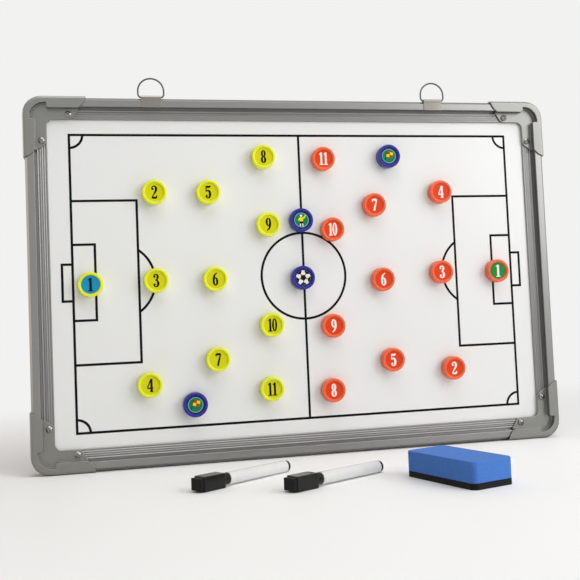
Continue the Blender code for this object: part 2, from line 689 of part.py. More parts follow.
def make_eraser(front):
    """A foam block on a felt pad, with rounded upright edges."""
    half_x = ERASER_LENGTH / 2 - ERASER_ROUND
    half_y = ERASER_WIDTH / 2 - ERASER_ROUND
    outline = []
    for sx, sy, start in ((1, 1, 0), (-1, 1, 90), (-1, -1, 180), (1, -1, 270)):
        outline += arc((sx * half_x, sy * half_y), ERASER_ROUND, start, start + 90)
    place = (ERASER_ACROSS, front - ERASER_FORWARD, 0)
    holder = empty("eraser", place, (0, 0, math.radians(ERASER_HEADING)))
    felt = prism("eraser_felt", [outline], 0, ERASER_FELT)
    piece("eraser_felt", felt, FELT, holder)
    base = ERASER_FELT + GAP
    foam = prism("eraser_foam", [outline], base, base + ERASER_FOAM)
    piece("eraser_foam", foam, FOAM, holder)


def front_of_board():
    """The Y of the board's front plane that centres the whole set on the origin."""
    angle = math.radians(ERASER_HEADING)
    reach = (ERASER_LENGTH / 2 - ERASER_ROUND) * abs(math.sin(angle))
    reach += (ERASER_WIDTH / 2 - ERASER_ROUND) * abs(math.cos(angle)) + ERASER_ROUND
    return (ERASER_FORWARD + reach - CAP_DEPTH) / 2


clear_scene()
PIECES = make_collection("magnetic_board_set")
CUTTERS = make_collection("cutters")

ENAMEL = make_material("white enamel", "#e9e9e7", 0.25)
FIBREBOARD = make_material("fibreboard", "#a98a62", 0.85)
GALVANISED = make_material("galvanised steel", "#b4b7b8", 0.45, 0.9)
ALUMINIUM = make_material("anodised aluminium", "#b9b7b3", 0.35, 1.0)
GREY_PLASTIC = make_material("grey ABS", "#9b9b95", 0.45)
NICKEL = make_material("nickelled steel", "#c9c8c4", 0.2, 1.0)
CLIP_STEEL = make_material("clip steel", "#a39f99", 0.35, 1.0)
RING_STEEL = make_material("ring steel", "#c4c3c0", 0.25, 1.0)
BLACK_PLASTIC = make_material("black polypropylene", "#1a1a1a", 0.4)
WHITE_PLASTIC = make_material("white polypropylene", "#ececec", 0.35)
FIBRE = make_material("ink fibre", "#26262a", 0.9)
FELT = make_material("black felt", "#1c1c1e", 0.95)
FOAM = make_material("blue foam", "#5b8ccf", 0.9)
COUNTER_PLASTIC = {
    "yellow": make_material("yellow polystyrene", "#dcdc1a", 0.35),
    "orange": make_material("orange polystyrene", "#e8441a", 0.35),
    "blue": make_material("blue polystyrene", "#2a2c92", 0.35)}

FRONT = front_of_board()
BOARD = empty("board", (0, FRONT, BOARD_HEIGHT / 2))
make_panel(BOARD)
make_rails(BOARD)
make_caps(BOARD)
make_screws(BOARD)
make_clips(BOARD)
make_rings(BOARD)
make_counters(BOARD)
make_pens(FRONT)
make_eraser(FRONT)
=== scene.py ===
"""Looks of a magnetic football tactics board with its counters, two pens and an eraser.

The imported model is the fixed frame.  New pieces are modelled in millimetres, each in a frame of
its own, and are brought to metres and set in place when they are finished.
"""
import json
import math

import bmesh
import bpy
from bpy.props import FloatProperty, FloatVectorProperty, IntProperty, PointerProperty
from mathutils import Matrix, Vector, noise


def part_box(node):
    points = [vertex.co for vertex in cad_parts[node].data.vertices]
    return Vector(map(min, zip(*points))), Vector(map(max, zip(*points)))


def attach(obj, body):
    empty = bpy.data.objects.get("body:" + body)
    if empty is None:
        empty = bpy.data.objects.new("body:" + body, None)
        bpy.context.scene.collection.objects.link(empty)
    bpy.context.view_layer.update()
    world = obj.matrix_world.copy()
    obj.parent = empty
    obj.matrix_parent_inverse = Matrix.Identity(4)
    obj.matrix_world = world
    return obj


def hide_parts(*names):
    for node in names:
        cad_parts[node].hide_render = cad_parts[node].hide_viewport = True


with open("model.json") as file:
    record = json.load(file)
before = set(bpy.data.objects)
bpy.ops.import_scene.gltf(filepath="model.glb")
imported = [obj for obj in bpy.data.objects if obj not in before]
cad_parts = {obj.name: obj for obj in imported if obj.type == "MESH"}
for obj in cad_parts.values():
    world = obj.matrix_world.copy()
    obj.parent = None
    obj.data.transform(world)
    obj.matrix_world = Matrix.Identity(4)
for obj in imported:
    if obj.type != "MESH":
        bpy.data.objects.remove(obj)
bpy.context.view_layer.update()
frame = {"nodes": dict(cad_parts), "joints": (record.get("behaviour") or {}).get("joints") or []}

bl_info = {
    "name": "Magnetic Tactics Board",
    "version": (1, 0, 0),
    "blender": (4, 5, 0),
    "location": "View3D > Sidebar > Board",
    "description": "Dresses a magnetic tactics board with its counters, pens and eraser",
    "category": "Object",
}

MM = 0.001
GAP = 0.3

# Points nearer than this, in millimetres, are one: in a new piece, and in a copy of a CAD mesh
WELD = 0.001
CAD_WELD = 0.002

# Least angle, in degrees, of an edge that is rounded on a copy of a CAD mesh
SHARP_EDGE = 25

# Turn that stands a flat drawing upright, facing -Y
UPRIGHT = Matrix.Rotation(math.radians(90), 4, "X")

# Printed pitch, as shares of its width
PENALTY_DEPTH = 0.13734
PENALTY_HALF = 0.1735
GOAL_AREA_DEPTH = 0.04702
GOAL_AREA_HALF = 0.0803
GOAL_DEPTH = 0.02162
GOAL_HALF = 0.0388
CENTRE_RADIUS = 0.0957
ARC_HALF_CHORD = 0.0663
ARC_BULGE = 0.0345

# Counter, from its base to its rim
RIM_WIDTH = 2.1
RIM_ROUND = 0.7
RIM_INNER_ROUND = 0.45
DISH_DEPTH = 1.2
DISH_DRAFT = 0.15
DISH_FILLET = 0.35
FOOT_CHAMFER = 0.35
MAGNET_SEAT = 0.8
MAGNET_RADIUS = 7.0
MAGNET_BASE = 0.1
MAGNET_CHAMFER = 0.2
MAGNET_GLUE = 0.05
LABEL_RADIUS = 7.35
LABEL_THICK = 0.12
LABEL_GLUE = 0.02
LABEL_SIDES = 48
INK_THICK = 0.05

# Screw of a corner cap
SCREW_HEAD_RADIUS = 2.6
SCREW_HEAD_HEIGHT = 1.6
SCREW_HEAD_CHAMFER = 0.15
SCREW_CROWN = 1.0
SCREW_SHANK_RADIUS = 1.2
SCREW_NECK = 0.4
SCREW_LENGTH = 7.0
SCREW_TIP = 1.2
SCREW_PITCH = 0.9
SCREW_SIDES = 32
THREAD_ROOT_SHARE = 0.8
CROSS_WIDTH = 0.95
CROSS_REACH = 1.75
CROSS_DEPTH = 1.3
CROSS_TAPER = (0.45, 0.6, 1)

# Each screw stops at an angle of its own, this many degrees on from the last one's
SCREW_TURN = 37

# Hanger clip and its wire ring
CLIP_SHEET = 0.6
CLIP_BEND = 1.25
CLIP_FRONT_DROP = 7.7
CLIP_BACK_DROP = 9.0
CLIP_PANEL_MARGIN = 1.1
CLIP_PANEL_DEPTH = 0.3
CLIP_EDGE = 0.2
WIRE_RADIUS = 0.7
WIRE_SIDES = 16
WIRE_BEND_STEP = 7
RING_WIDTH = 22.3
RING_HEIGHT = 16.5
RING_CORNER = 3.0

# Pen, measured from the front of the cap's block to the tail; the groove round the collar is
# measured back from the collar's mouth
BLOCK = (19.5, 11.0, 10.3)
BLOCK_ROUND = 0.8
PAD = (3.5, 9.6, 8.3)
PAD_ROUND = 0.5
PAD_SINK = 0.02
PAD_CUTS = 9
FUZZ_DEPTH = 0.12
FUZZ_SPACING = 1.1
COLLAR_RADIUS = 4.1
COLLAR_LENGTH = 6.0
COLLAR_LIP = 0.3
COLLAR_GROOVE = (1.1, 1.25, 1.75, 1.9)
COLLAR_GROOVE_DEPTH = 0.18
CAP_FLOOR = 3.0
BARREL_RADIUS = 4.35
BARREL_LENGTH = 58.5
BARREL_WALL = 0.85
BARREL_EDGE = 0.35
NECK_RADIUS = 3.0
NECK_LENGTH = 16.5
NECK_TAPER = (0.5, 0.8)
NIB_RADIUS = 1.2
NIB_REACH = 4.5
SHOULDER = 1.8
PLUG_RADIUS = 4.1
PLUG_LENGTH = 2.7
PLUG_STUB = 3.5
PEN_SIDES = 48

# Eraser
ERASER_LENGTH = 70.0
ERASER_WIDTH = 35.0
ERASER_ROUND = 4.5
ERASER_HEADING = -72.0
FELT_EDGE = 0.2

# Nearly all of a noise texture lies between these values
NOISE_RANGE = (0.3, 0.7)

# Distances from the board's foot between which the floor melts into the backdrop, in metres
FLOOR_FADE = (0.28, 0.8)


def linear(code):
    """Turn an sRGB hex colour into linear red, green and blue."""
    channels = [int(code[i:i + 2], 16) / 255 for i in (1, 3, 5)]
    return [c / 12.92 if c <= 0.04045 else ((c + 0.055) / 1.055) ** 2.4 for c in channels]


def tint(name, description, code):
    """A colour setting with an sRGB hex colour as its default."""
    return FloatVectorProperty(name=name, description=description, subtype="COLOR", size=4,
                               min=0.0, max=1.0, default=(*linear(code), 1.0))


def length(name, description, millimetres):
    """A size setting with a default in millimetres."""
    return FloatProperty(name=name, description=description, unit="LENGTH", min=0.0,
                         precision=5, default=millimetres * MM)


class BoardSizes(bpy.types.PropertyGroup):
    """Sizes that a user would change."""

    pitch_width: length("Pitch width", "Length of the printed pitch across the board", 379.0)
    pitch_height: length("Pitch height", "Height of the printed pitch", 239.0)
    line_width: length("Line width", "Width of the printed lines", 2.0)
    corner_arc: length("Corner arc", "Radius of the printed corner arcs", 10.5)
    numeral_height: length("Numeral height", "Height of the printed numerals", 10.6)
    picture_width: length("Picture width", "Diameter of the printed pictures", 12.4)
    rail_edge: length("Rail edge", "Rounding of the rails' sharp edges", 0.11)
    cap_edge: length("Cap edge", "Rounding of the corner caps' edges", 0.4)
    foam_edge: length("Foam edge", "Rounding of the eraser's top edge", 0.9)
    turned_sides: IntProperty(name="Turned sides", min=16, max=128, default=64,
                              description="Steps in a full turn of the round pieces")


class BoardColours(bpy.types.PropertyGroup):
    """Colours of the materials."""

    lacquer: tint("Lacquer", "White lacquer of the writing face", "#ebebe9")
    ink: tint("Ink", "Black of the printed lines and numerals", "#060606")
    white_ink: tint("White ink", "White of the printed numerals", "#f3ebe3")
    aluminium: tint("Aluminium", "Anodised aluminium of the rails", "#8e8d8b")
    grey_plastic: tint("Grey plastic", "Moulded corner caps", "#868682")
    nickel: tint("Nickel", "Plated screws", "#918f8b")
    clip: tint("Clip steel", "Hanger clips", "#8e8a83")
    ring: tint("Ring steel", "Wire rings", "#63605c")
    zinc: tint("Zinc", "Galvanised back sheet", "#b4b7b8")
    board: tint("Fibreboard", "Core of the panel", "#a98a62")
    yellow: tint("Yellow", "Yellow counters", "#e8ec32")
    yellow_label: tint("Yellow label", "Labels of the yellow counters", "#d8d403")
    orange: tint("Orange", "Orange counters", "#ef6a3e")
    orange_label: tint("Orange label", "Labels of the orange counters", "#e03e06")
    blue: tint("Blue", "Blue counters", "#25278f")
    blue_label: tint("Blue label", "Labels of the blue counters", "#13146c")
    keeper_blue: tint("Keeper blue", "Label of the yellow goalkeeper", "#1290be")
    keeper_green: tint("Keeper green", "Label of the orange goalkeeper", "#1c8030")
    picture_green: tint("Picture green", "Ground of the printed pictures", "#1e7a50")
    picture_edge: tint("Picture edge", "Ring round the printed pictures", "#7fb9a6")
    picture_yellow: tint("Picture yellow", "Yellow of the pictures", "#e3e02a")
    picture_red: tint("Picture red", "Red of the pictures", "#b8371c")
    black_plastic: tint("Black plastic", "Pen caps and plugs", "#080808")
    white_plastic: tint("White plastic", "Pen barrels", "#dadad9")
    felt: tint("Felt", "Wiping pads", "#0b0b0d")
    fibre: tint("Ink fibre", "Ink cores and nibs of the pens", "#232327")
    foam: tint("Foam", "Block of the eraser", "#4077c8")
    floor: tint("Floor", "Floor of the studio", "#fafaf9")


def colour(name):
    """The linear colour of a colour setting."""
    return tuple(getattr(bpy.context.scene.board_colours, name))


def size(name):
    """A size setting in millimetres."""
    return getattr(bpy.context.scene.board_sizes, name) / MM


def shaded(base, factor):
    """A colour made darker or lighter by a factor."""
    return (*(min(1.0, channel * factor) for channel in base[:3]), 1.0)


def add_node(tree, kind, inputs=None, **settings):
    """Add a node, set it, and set or link its inputs."""
    made = tree.nodes.new(kind)
    for key, value in settings.items():
        setattr(made, key, value)
    for key, value in (inputs or {}).items():
        if isinstance(value, bpy.types.NodeSocket):
            tree.links.new(value, made.inputs[key])
        else:
            made.inputs[key].default_value = value
    return made


def made_once(make):
    """Let a material function hand back what it has already made with the same choices."""
    def look_up(*choices):
        name = "_".join([make.__name__, *choices])
        return bpy.data.materials.get(name) or make(name, *choices)
    return look_up


def start_material(name, **constants):
    """A Principled material with its constant sockets set, its tree and its shader."""
    material = bpy.data.materials.new(name)
    material.use_nodes = True
    shader = material.node_tree.nodes["Principled BSDF"]
    for key, value in constants.items():
        shader.inputs[key.replace("_", " ")].default_value = value
    return material, material.node_tree, shader


def pattern_space(tree, stretch=(1, 1, 1)):
    """Object coordinates in millimetres, divided along each axis by a stretch."""
    place = add_node(tree, "ShaderNodeTexCoord")
    scale = tuple(1 / (MM * share) for share in stretch)
    return add_node(tree, "ShaderNodeMapping",
                    {"Vector": place.outputs["Object"], "Scale": scale}).outputs["Vector"]


def grain(tree, space, spacing, detail=3.0, roughness=0.55):
    """Noise whose features lie a spacing in millimetres apart."""
    return add_node(tree, "ShaderNodeTexNoise",
                    {"Vector": space, "Scale": 1 / spacing, "Detail": detail,
                     "Roughness": roughness}).outputs["Fac"]


def spread(tree, factor, low, high):
    """Spread a noise over the range between two values."""
    return add_node(tree, "ShaderNodeMapRange",
                    {"Value": factor, "From Min": NOISE_RANGE[0], "From Max": NOISE_RANGE[1],
                     "To Min": low, "To Max": high}).outputs["Result"]


def blended(tree, factor, first, second):
    """Blend two colours by a factor."""
    mix = add_node(tree, "ShaderNodeMix", data_type="RGBA")
    tree.links.new(factor, mix.inputs["Factor"])
    for socket, value in (("A", first), ("B", second)):
        target = next(s for s in mix.inputs if s.name == socket and s.type == "RGBA")
        if isinstance(value, bpy.types.NodeSocket):
            tree.links.new(value, target)
        else:
            target.default_value = value
    return next(s for s in mix.outputs if s.type == "RGBA")


def bumped(tree, height, depth):
    """Turn a height into a bump of some depth in millimetres."""
    return add_node(tree, "ShaderNodeBump", {"Height": height, "Distance": depth * MM,
                                             "Strength": 1.0}).outputs["Normal"]


def give(tree, shader, **links):
    """Link outputs to the shader's sockets."""
    for key, value in links.items():
        tree.links.new(value, shader.inputs[key.replace("_", " ")])


# White lacquer, coil coated on steel: an even gloss with a slight orange peel, which softens the
# edges of reflections, and a faint haze left by wiping
@made_once
def white_lacquer(name):
    material, tree, shader = start_material(name, IOR=1.5, Coat_Weight=0.15, Coat_Roughness=0.08)
    space = pattern_space(tree)
    haze = grain(tree, space, 70.0, 1.0)
    base = colour("lacquer")
    give(tree, shader, Base_Color=blended(tree, haze, shaded(base, 0.99), base),
         Roughness=spread(tree, grain(tree, space, 30.0, 1.0), 0.28, 0.31),
         Normal=bumped(tree, grain(tree, space, 2.5, 0.0), 0.002))
    return material


# Screen-printed ink: a thin even film, a little duller than the lacquer under it
@made_once
def printing_ink(name, tone):
    material, tree, shader = start_material(name, IOR=1.5, Specular_IOR_Level=0.12)
    space = pattern_space(tree)
    base = colour(tone)
    give(tree, shader,
         Base_Color=blended(tree, grain(tree, space, 3.0), shaded(base, 0.9), shaded(base, 1.08)),
         Roughness=spread(tree, grain(tree, space, 0.6), 0.45, 0.58))
    return material


# Anodised aluminium, extruded: a satin metal with fine die lines along the rail, which show as
# streaks of unlike gloss, and a slow change of tone from the anodising bath
@made_once
def anodised_aluminium(name, along):
    material, tree, shader = start_material(name, Metallic=1.0)
    run = (900.0, 1.0, 1.0) if along == "x" else (1.0, 1.0, 900.0)
    lines = pattern_space(tree, run)
    streaks = grain(tree, lines, 0.55, 4.0, 0.7)
    bath = grain(tree, pattern_space(tree), 90.0, 2.0)
    base = colour("aluminium")
    tone = blended(tree, streaks, shaded(base, 0.92), shaded(base, 1.06))
    give(tree, shader, Base_Color=blended(tree, spread(tree, bath, 0.0, 0.2), tone,
                                          shaded(base, 0.86)),
         Roughness=spread(tree, streaks, 0.28, 0.38),
         Normal=bumped(tree, streaks, 0.005))
    return material


# ABS filled with fine aluminium flake, moulded: a satin silver grey that is bright where it faces
# the light and dark where it turns away, with a fine pebble and slight flow marks
@made_once
def moulded_abs(name):
    material, tree, shader = start_material(name, IOR=1.53, Metallic=0.9)
    space = pattern_space(tree)
    base = colour("grey_plastic")
    flow = grain(tree, space, 24.0, 2.0)
    give(tree, shader, Base_Color=blended(tree, flow, shaded(base, 0.95), shaded(base, 1.04)),
         Roughness=spread(tree, grain(tree, space, 0.5), 0.33, 0.41),
         Normal=bumped(tree, grain(tree, space, 0.35, 2.0), 0.006))
    return material


# Nickel-plated steel, tumbled: bright, with small dull spots where heads have knocked together
@made_once
def plated_nickel(name):
    material, tree, shader = start_material(name, Metallic=1.0)
    space = pattern_space(tree)
    base = colour("nickel")
    knocks = grain(tree, space, 0.7, 3.0)
    give(tree, shader, Base_Color=blended(tree, knocks, shaded(base, 0.8), shaded(base, 1.0)),
         Roughness=spread(tree, knocks, 0.12, 0.22))
    return material


# Cold-rolled steel strip, plated after pressing: satin, with rolling lines down the strip and
# rubbed spots
@made_once
def pressed_steel(name):
    material, tree, shader = start_material(name, Metallic=1.0)
    lines = pattern_space(tree, (1.0, 1.0, 30.0))
    base = colour("clip")
    rolling = grain(tree, lines, 0.4, 4.0)
    rubbed = grain(tree, pattern_space(tree), 3.5, 3.0)
    tone = blended(tree, rolling, shaded(base, 0.96), shaded(base, 1.04))
    give(tree, shader, Base_Color=blended(tree, spread(tree, rubbed, 0.0, 0.2), tone,
                                          shaded(base, 0.85)),
         Roughness=spread(tree, rubbed, 0.2, 0.28), Normal=bumped(tree, rolling, 0.002))
    return material


# Drawn steel wire, plated: smooth, with faint draw marks and a slightly uneven shine
@made_once
def drawn_wire(name):
    material, tree, shader = start_material(name, Metallic=1.0)
    space = pattern_space(tree)
    base = colour("ring")
    shine = grain(tree, space, 1.2, 3.0)
    give(tree, shader, Base_Color=blended(tree, shine, shaded(base, 0.8), shaded(base, 1.05)),
         Roughness=spread(tree, shine, 0.22, 0.38))
    return material


# Hot-dip galvanised steel: dull grey, with the flat crystals of zinc that the bath leaves
@made_once
def galvanised_steel(name):
    material, tree, shader = start_material(name, Metallic=0.9)
    space = pattern_space(tree)
    cells = add_node(tree, "ShaderNodeTexVoronoi", {"Vector": space, "Scale": 1 / 9.0,
                                                    "Randomness": 1.0})
    crystal = add_node(tree, "ShaderNodeSeparateColor", {"Color": cells.outputs["Color"]})
    base = colour("zinc")
    give(tree, shader, Base_Color=blended(tree, crystal.outputs["Red"], shaded(base, 0.78),
                                          shaded(base, 1.08)),
         Roughness=spread(tree, crystal.outputs["Green"], 0.4, 0.55))
    return material


# Hard fibreboard, pressed from wood pulp: matt brown, with short matted fibres
@made_once
def fibreboard(name):
    material, tree, shader = start_material(name, Roughness=0.88)
    space = pattern_space(tree, (3.0, 1.0, 1.0))
    base = colour("board")
    pulp = grain(tree, space, 0.9, 6.0, 0.7)
    give(tree, shader, Base_Color=blended(tree, pulp, shaded(base, 0.62), shaded(base, 1.2)),
         Normal=bumped(tree, pulp, 0.12))
    return material


# Polystyrene, injection moulded: glossy and slightly deep, so that colour glows at the rim, with
# soft sink marks and hair scratches from the box
@made_once
def moulded_styrene(name, tone):
    material, tree, shader = start_material(name, IOR=1.57, Specular_IOR_Level=0.35,
                                            Subsurface_Weight=0.12, Subsurface_Scale=0.002)
    space = pattern_space(tree)
    base = colour(tone)
    sink = grain(tree, space, 6.0, 2.0)
    scratches = grain(tree, pattern_space(tree, (6.0, 1.0, 1.0)), 0.4, 3.0)
    give(tree, shader, Base_Color=blended(tree, sink, shaded(base, 0.94), shaded(base, 1.05)),
         Roughness=spread(tree, scratches, 0.2, 0.34),
         Normal=bumped(tree, sink, 0.03))
    return material


# Vinyl label, printed and laid in the dish: flat, with a finer gloss than the moulding round it
@made_once
def printed_label(name, tone):
    material, tree, shader = start_material(name, IOR=1.5, Specular_IOR_Level=0.25)
    space = pattern_space(tree)
    base = colour(tone)
    give(tree, shader,
         Base_Color=blended(tree, grain(tree, space, 4.0), shaded(base, 0.95), shaded(base, 1.04)),
         Roughness=spread(tree, grain(tree, space, 1.0), 0.26, 0.36),
         Normal=bumped(tree, grain(tree, space, 2.5, 2.0), 0.01))
    return material


# Ferrite magnet, sintered and ground: nearly black, dull, with a mineral speckle
@made_once
def ground_ferrite(name):
    material, tree, shader = start_material(name, Metallic=0.25)
    space = pattern_space(tree)
    speckle = grain(tree, space, 0.25, 2.0)
    base = (*linear("#2b2a2a"), 1.0)
    give(tree, shader, Base_Color=blended(tree, speckle, shaded(base, 0.6), shaded(base, 1.5)),
         Roughness=spread(tree, speckle, 0.5, 0.68), Normal=bumped(tree, speckle, 0.02))
    return material


# Polypropylene, moulded: waxy sheen, a soft pebble and slight sink over thick sections
@made_once
def moulded_polypropylene(name, tone):
    material, tree, shader = start_material(name, IOR=1.49, Specular_IOR_Level=0.35)
    space = pattern_space(tree)
    base = colour(tone)
    sink = grain(tree, space, 7.0, 2.0)
    give(tree, shader, Base_Color=blended(tree, sink, shaded(base, 0.93), shaded(base, 1.05)),
         Roughness=spread(tree, grain(tree, space, 0.6), 0.12, 0.2),
         Normal=bumped(tree, grain(tree, space, 0.5, 2.0), 0.006))
    return material


# Wool felt, pressed: matt black with short tangled fibres that catch a little light
@made_once
def pressed_felt(name):
    material, tree, shader = start_material(name, Roughness=0.95, Specular_IOR_Level=0.2,
                                            Sheen_Weight=0.08, Sheen_Roughness=0.6)
    space = pattern_space(tree)
    base = colour("felt")
    fibres = grain(tree, space, 0.45, 6.0, 0.75)
    give(tree, shader, Base_Color=blended(tree, fibres, shaded(base, 0.5), shaded(base, 2.0)),
         Normal=bumped(tree, fibres, 0.2))
    return material


# Polyester fibre, bonded and soaked with ink: matt, with fibres along the core
@made_once
def soaked_fibre(name):
    material, tree, shader = start_material(name, Roughness=0.9)
    space = pattern_space(tree)
    base = colour("fibre")
    fibres = grain(tree, space, 0.3, 5.0, 0.7)
    give(tree, shader, Base_Color=blended(tree, fibres, shaded(base, 0.6), shaded(base, 1.6)),
         Normal=bumped(tree, fibres, 0.08))
    return material


# EVA foam, cut from a sheet: matt, with fine closed cells opened by the knife and a slow change
# of tone through the block
@made_once
def cut_foam(name):
    material, tree, shader = start_material(name, Roughness=0.82)
    space = pattern_space(tree)
    base = colour("foam")
    cells = add_node(tree, "ShaderNodeTexVoronoi", {"Vector": space, "Scale": 1 / 0.55})
    slow = grain(tree, space, 18.0, 3.0)
    speckle = blended(tree, spread(tree, cells.outputs["Distance"], 0.0, 1.0),
                      shaded(base, 0.84), shaded(base, 1.1))
    give(tree, shader, Base_Color=blended(tree, spread(tree, slow, 0.0, 0.3), speckle,
                                          shaded(base, 0.88)),
         Normal=bumped(tree, cells.outputs["Distance"], 0.08))
    return material


def shows_backdrop(tree):
    """1 for rays that show the backdrop: from the camera, off a gloss, or through a clear piece."""
    path = add_node(tree, "ShaderNodeLightPath")
    share = path.outputs["Is Camera Ray"]
    for kind in ("Is Glossy Ray", "Is Transmission Ray"):
        share = add_node(tree, "ShaderNodeMath", {0: share, 1: path.outputs[kind]},
                         operation="MAXIMUM").outputs["Value"]
    return share


# Painted studio floor: matt and pale; far from the board it is seen to melt into the backdrop
@made_once
def studio_floor(name):
    material, tree, shader = start_material(name, Roughness=0.6)
    space = pattern_space(tree)
    base = colour("floor")
    give(tree, shader, Base_Color=blended(tree, grain(tree, space, 320.0), shaded(base, 0.985),
                                          base))
    place = add_node(tree, "ShaderNodeTexCoord")
    far = add_node(tree, "ShaderNodeVectorMath", {0: place.outputs["Object"]}, operation="LENGTH")
    fade = add_node(tree, "ShaderNodeMapRange", {"Value": far.outputs["Value"],
                                                 "From Min": FLOOR_FADE[0],
                                                 "From Max": FLOOR_FADE[1]},
                    interpolation_type="SMOOTHSTEP")
    share = add_node(tree, "ShaderNodeMath", {0: fade.outputs["Result"],
                                              1: shows_backdrop(tree)}, operation="MULTIPLY")
    glow = add_node(tree, "ShaderNodeEmission", {"Color": (*linear(BACKDROP), 1.0)})
    mix = add_node(tree, "ShaderNodeMixShader", {0: share.outputs["Value"],
                                                 1: shader.outputs["BSDF"],
                                                 2: glow.outputs["Emission"]})
    tree.links.new(mix.outputs["Shader"], tree.nodes["Material Output"].inputs["Surface"])
    return material


def box(node):
    """Lowest and highest corner of a CAD node, in millimetres."""
    low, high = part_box(node)
    return Vector(low) / MM, Vector(high) / MM


def verts_in(geom):
    """The points among what an operator has made."""
    return [item for item in geom if isinstance(item, bmesh.types.BMVert)]


def edges_in(geom):
    """The edges among what an operator has made."""
    return [item for item in geom if isinstance(item, bmesh.types.BMEdge)]


def arc(centre, radius, start, stop, steps):
    """Points of an arc, with angles in degrees."""
    angles = [math.radians(start + (stop - start) * i / steps) for i in range(steps + 1)]
    return [(centre[0] + radius * math.cos(a), centre[1] + radius * math.sin(a)) for a in angles]


def chain(bm, points, closed=False):
    """Join points with edges and return the edges."""
    verts = [bm.verts.new((*point, 0)[:3]) for point in points]
    pairs = list(zip(verts, verts[1:]))
    if closed:
        pairs.append((verts[-1], verts[0]))
    return [bm.edges.new(pair) for pair in pairs]


def spun(profile, sides, closed=False):
    """Turn a profile of (radius, height) points round Z."""
    bm = bmesh.new()
    edges = chain(bm, [(radius, 0, height) for radius, height in profile], closed)
    bmesh.ops.spin(bm, geom=bm.verts[:] + edges, cent=(0, 0, 0), axis=(0, 0, 1),
                   angle=math.tau, steps=sides, use_merge=True)
    bmesh.ops.remove_doubles(bm, verts=bm.verts, dist=WELD)
    bmesh.ops.recalc_face_normals(bm, faces=bm.faces)
    return bm


def raised(bm, low, high):
    """Give flat faces a thickness, from one height to another."""
    bmesh.ops.translate(bm, vec=(0, 0, low), verts=bm.verts)
    top = bmesh.ops.extrude_face_region(bm, geom=bm.faces[:])
    bmesh.ops.translate(bm, vec=(0, 0, high - low), verts=verts_in(top["geom"]))
    bmesh.ops.recalc_face_normals(bm, faces=bm.faces)
    return bm


def plate(outline, low, high):
    """A flat plate with a closed outline."""
    bm = bmesh.new()
    edges = chain(bm, outline, closed=True)
    bmesh.ops.contextual_create(bm, geom=edges)
    return raised(bm, low, high)


def disc(radius, low, high, sides, centre=(0, 0)):
    """A round plate."""
    bm = bmesh.new()
    bmesh.ops.create_circle(bm, cap_ends=True, segments=sides, radius=radius)
    bmesh.ops.translate(bm, vec=(*centre, 0), verts=bm.verts)
    return raised(bm, low, high)


def bent_bar(centre, radius, width, start, stop, low, high):
    """A flat bar bent to an arc, with angles in degrees."""
    steps = max(8, round(abs(stop - start) / 4))
    whole = abs(stop - start) >= 360
    bm = bmesh.new()
    edges = chain(bm, [arc((0, 0), radius + side * width / 2, start, start, 1)[0]
                       for side in (-1, 1)])
    bmesh.ops.spin(bm, geom=bm.verts[:] + edges, cent=(0, 0, 0), axis=(0, 0, 1),
                   angle=math.radians(stop - start), steps=steps, use_merge=whole)
    bmesh.ops.remove_doubles(bm, verts=bm.verts, dist=WELD)
    bmesh.ops.translate(bm, vec=(*centre, 0), verts=bm.verts)
    return raised(bm, low, high)


def block(low, high):
    """A box between two corners."""
    bm = bmesh.new()
    span = Vector(high) - Vector(low)
    bmesh.ops.create_cube(bm, size=1.0)
    bmesh.ops.scale(bm, vec=span, verts=bm.verts)
    bmesh.ops.translate(bm, vec=Vector(low) + span / 2, verts=bm.verts)
    return bm


def round_edges(bm, edges, width, segments):
    """Round some edges."""
    bmesh.ops.bevel(bm, geom=edges, offset=width, segments=segments, profile=0.5,
                    affect="EDGES", material=-1, clamp_overlap=False)


def edges_sharper(bm, degrees=SHARP_EDGE):
    """Edges whose two faces meet at more than some angle."""
    limit = math.radians(degrees)
    return [edge for edge in bm.edges if edge.is_manifold and edge.calc_face_angle() > limit]


# A boolean hands its points and faces over in an order that changes from run to run, and can
# leave flaps, which are pairs of faces that share all their points
def put_in_order(bm):
    """The same solid without flaps, with its points and faces in a fixed order."""
    ordered = sorted(bm.verts, key=lambda vert: tuple(vert.co))
    ranks = {vert: rank for rank, vert in enumerate(ordered)}
    rings = {}
    for face in bm.faces:
        ring = [ranks[vert] for vert in face.verts]
        start = ring.index(min(ring))
        rings.setdefault(frozenset(ring), []).append(ring[start:] + ring[:start])
    whole = bmesh.new()
    verts = [whole.verts.new(vert.co) for vert in ordered]
    for ring in sorted(same[0] for same in rings.values() if len(same) == 1):
        whole.faces.new([verts[rank] for rank in ring])
    loose = [vert for vert in verts if not vert.link_faces]
    bmesh.ops.delete(whole, geom=loose, context="VERTS")
    whole.normal_update()
    bm.free()
    return whole


def new_object(name, data):
    """A new object in the scene."""
    obj = bpy.data.objects.new(name, data)
    bpy.context.scene.collection.objects.link(obj)
    return obj


